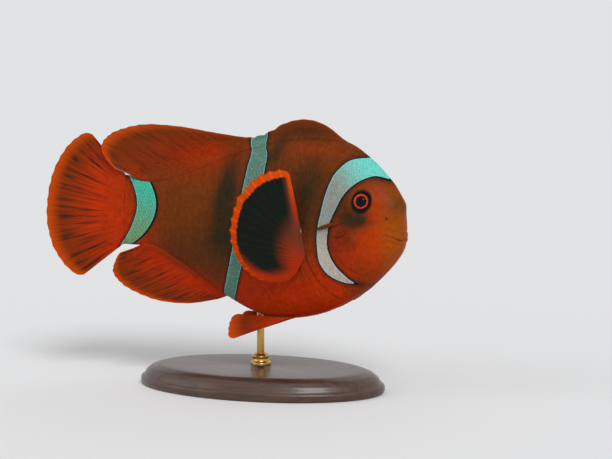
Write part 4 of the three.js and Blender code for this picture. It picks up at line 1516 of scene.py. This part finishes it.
def backdrop_world(daylight):
    """Soft light from all sides, with a pale background for the camera, for gloss and for glass."""
    world = bpy.data.worlds.new("studio")
    bpy.context.scene.world = world
    world.use_nodes = True
    world.node_tree.nodes.clear()
    nodes = Nodes(world.node_tree)
    path = nodes.node("ShaderNodeLightPath")
    seen = path.beside("Is Camera Ray").maximum(
        path.beside("Is Glossy Ray").maximum(path.beside("Is Transmission Ray")))
    light = nodes.node("ShaderNodeBackground", sockets={"Strength": daylight})
    pale = nodes.node("ShaderNodeBackground", sockets={"Color": (0.758, 0.767, 0.775)})
    mixed = nodes.node("ShaderNodeMixShader", sockets={0: seen, 1: light, 2: pale})
    nodes.node("ShaderNodeOutputWorld", sockets={"Surface": mixed})


class FISH_OT_stage(bpy.types.Operator):
    """Sets the floor, the soft studio light and the camera"""
    bl_idname = "anemonefish.stage"
    bl_label = "Stage"

    def execute(self, context):
        scene = context.scene
        settings = scene.stage_settings
        scene.view_settings.view_transform = "Standard"
        low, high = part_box("trunk")
        azimuth, elevation = math.radians(settings.azimuth), math.radians(settings.elevation)
        right = Vector((math.cos(azimuth), math.sin(azimuth), 0))
        level = Vector((right.y, -right.x, 0))
        toward = level * math.cos(elevation) + Vector((0, 0, math.sin(elevation)))
        aim = (low + high) / 2 + right * settings.aim_right + toward.cross(right) * settings.aim_up
        data = bpy.data.cameras.new("camera")
        data.sensor_fit = "HORIZONTAL"
        data.angle = settings.view_angle
        data.clip_start = 0.01
        camera = scene.camera = put("camera", data)
        camera.location = aim + toward * settings.distance
        camera.rotation_euler = facing(toward)

        plane = bpy.data.meshes.new("floor")
        reach = 8.0
        plane.from_pydata([(x * reach, y * reach, 0) for x, y in ((-1, -1), (1, -1), (1, 1), (-1, 1))], [],
                          [(0, 1, 2, 3)])
        shade = Shade("studio_floor", Base_Color=(0.88, 0.89, 0.9), Roughness=0.75, Specular_IOR_Level=0.0)
        plane.materials.append(shade.material)
        floor = put("floor", plane)
        backdrop_world(settings.daylight)
        broad_lamp("key", (0.5, -0.8, 0.85), settings.key_light, 24)
        broad_lamp("fill", (-0.8, -0.5, 0.4), settings.key_light * 0.25, 40)
        return {"FINISHED"}


# ---------------------------------------------------------------- the add-on
GROUPS = {"fish_colours": FishColours, "skin_sizes": SkinSizes, "fin_sizes": FinSizes,
          "stand_looks": StandLooks, "stage_settings": StageSettings}
OPERATORS = (FISH_OT_skin, FISH_OT_scales, FISH_OT_midline_fins, FISH_OT_paired_fins, FISH_OT_eyes,
             FISH_OT_cheek_spines, FISH_OT_stand, FISH_OT_stage)


class FISH_PT_panel(bpy.types.Panel):
    """Lists the fish's pieces and what can be changed on them"""
    bl_idname = "FISH_PT_panel"
    bl_label = "Anemonefish"
    bl_space_type = "VIEW_3D"
    bl_region_type = "UI"
    bl_category = "Anemonefish"

    def draw(self, context):
        for group, kind in GROUPS.items():
            box = self.layout.box()
            for name in kind.__annotations__:
                box.prop(getattr(context.scene, group), name)
        for operator in OPERATORS:
            self.layout.operator(operator.bl_idname)


def register():
    for kind in (*GROUPS.values(), *OPERATORS, FISH_PT_panel):
        bpy.utils.register_class(kind)
    for name, kind in GROUPS.items():
        setattr(bpy.types.Scene, name, PointerProperty(type=kind))


def unregister():
    for name in GROUPS:
        delattr(bpy.types.Scene, name)
    for kind in reversed((*GROUPS.values(), *OPERATORS, FISH_PT_panel)):
        bpy.utils.unregister_class(kind)


def main():
    register()
    bpy.ops.anemonefish.skin()
    bpy.ops.anemonefish.scales()
    bpy.ops.anemonefish.midline_fins()
    bpy.ops.anemonefish.paired_fins()
    bpy.ops.anemonefish.eyes()
    bpy.ops.anemonefish.cheek_spines()
    bpy.ops.anemonefish.stand()
    bpy.ops.anemonefish.stage()


if __name__ == "__main__":
    main()
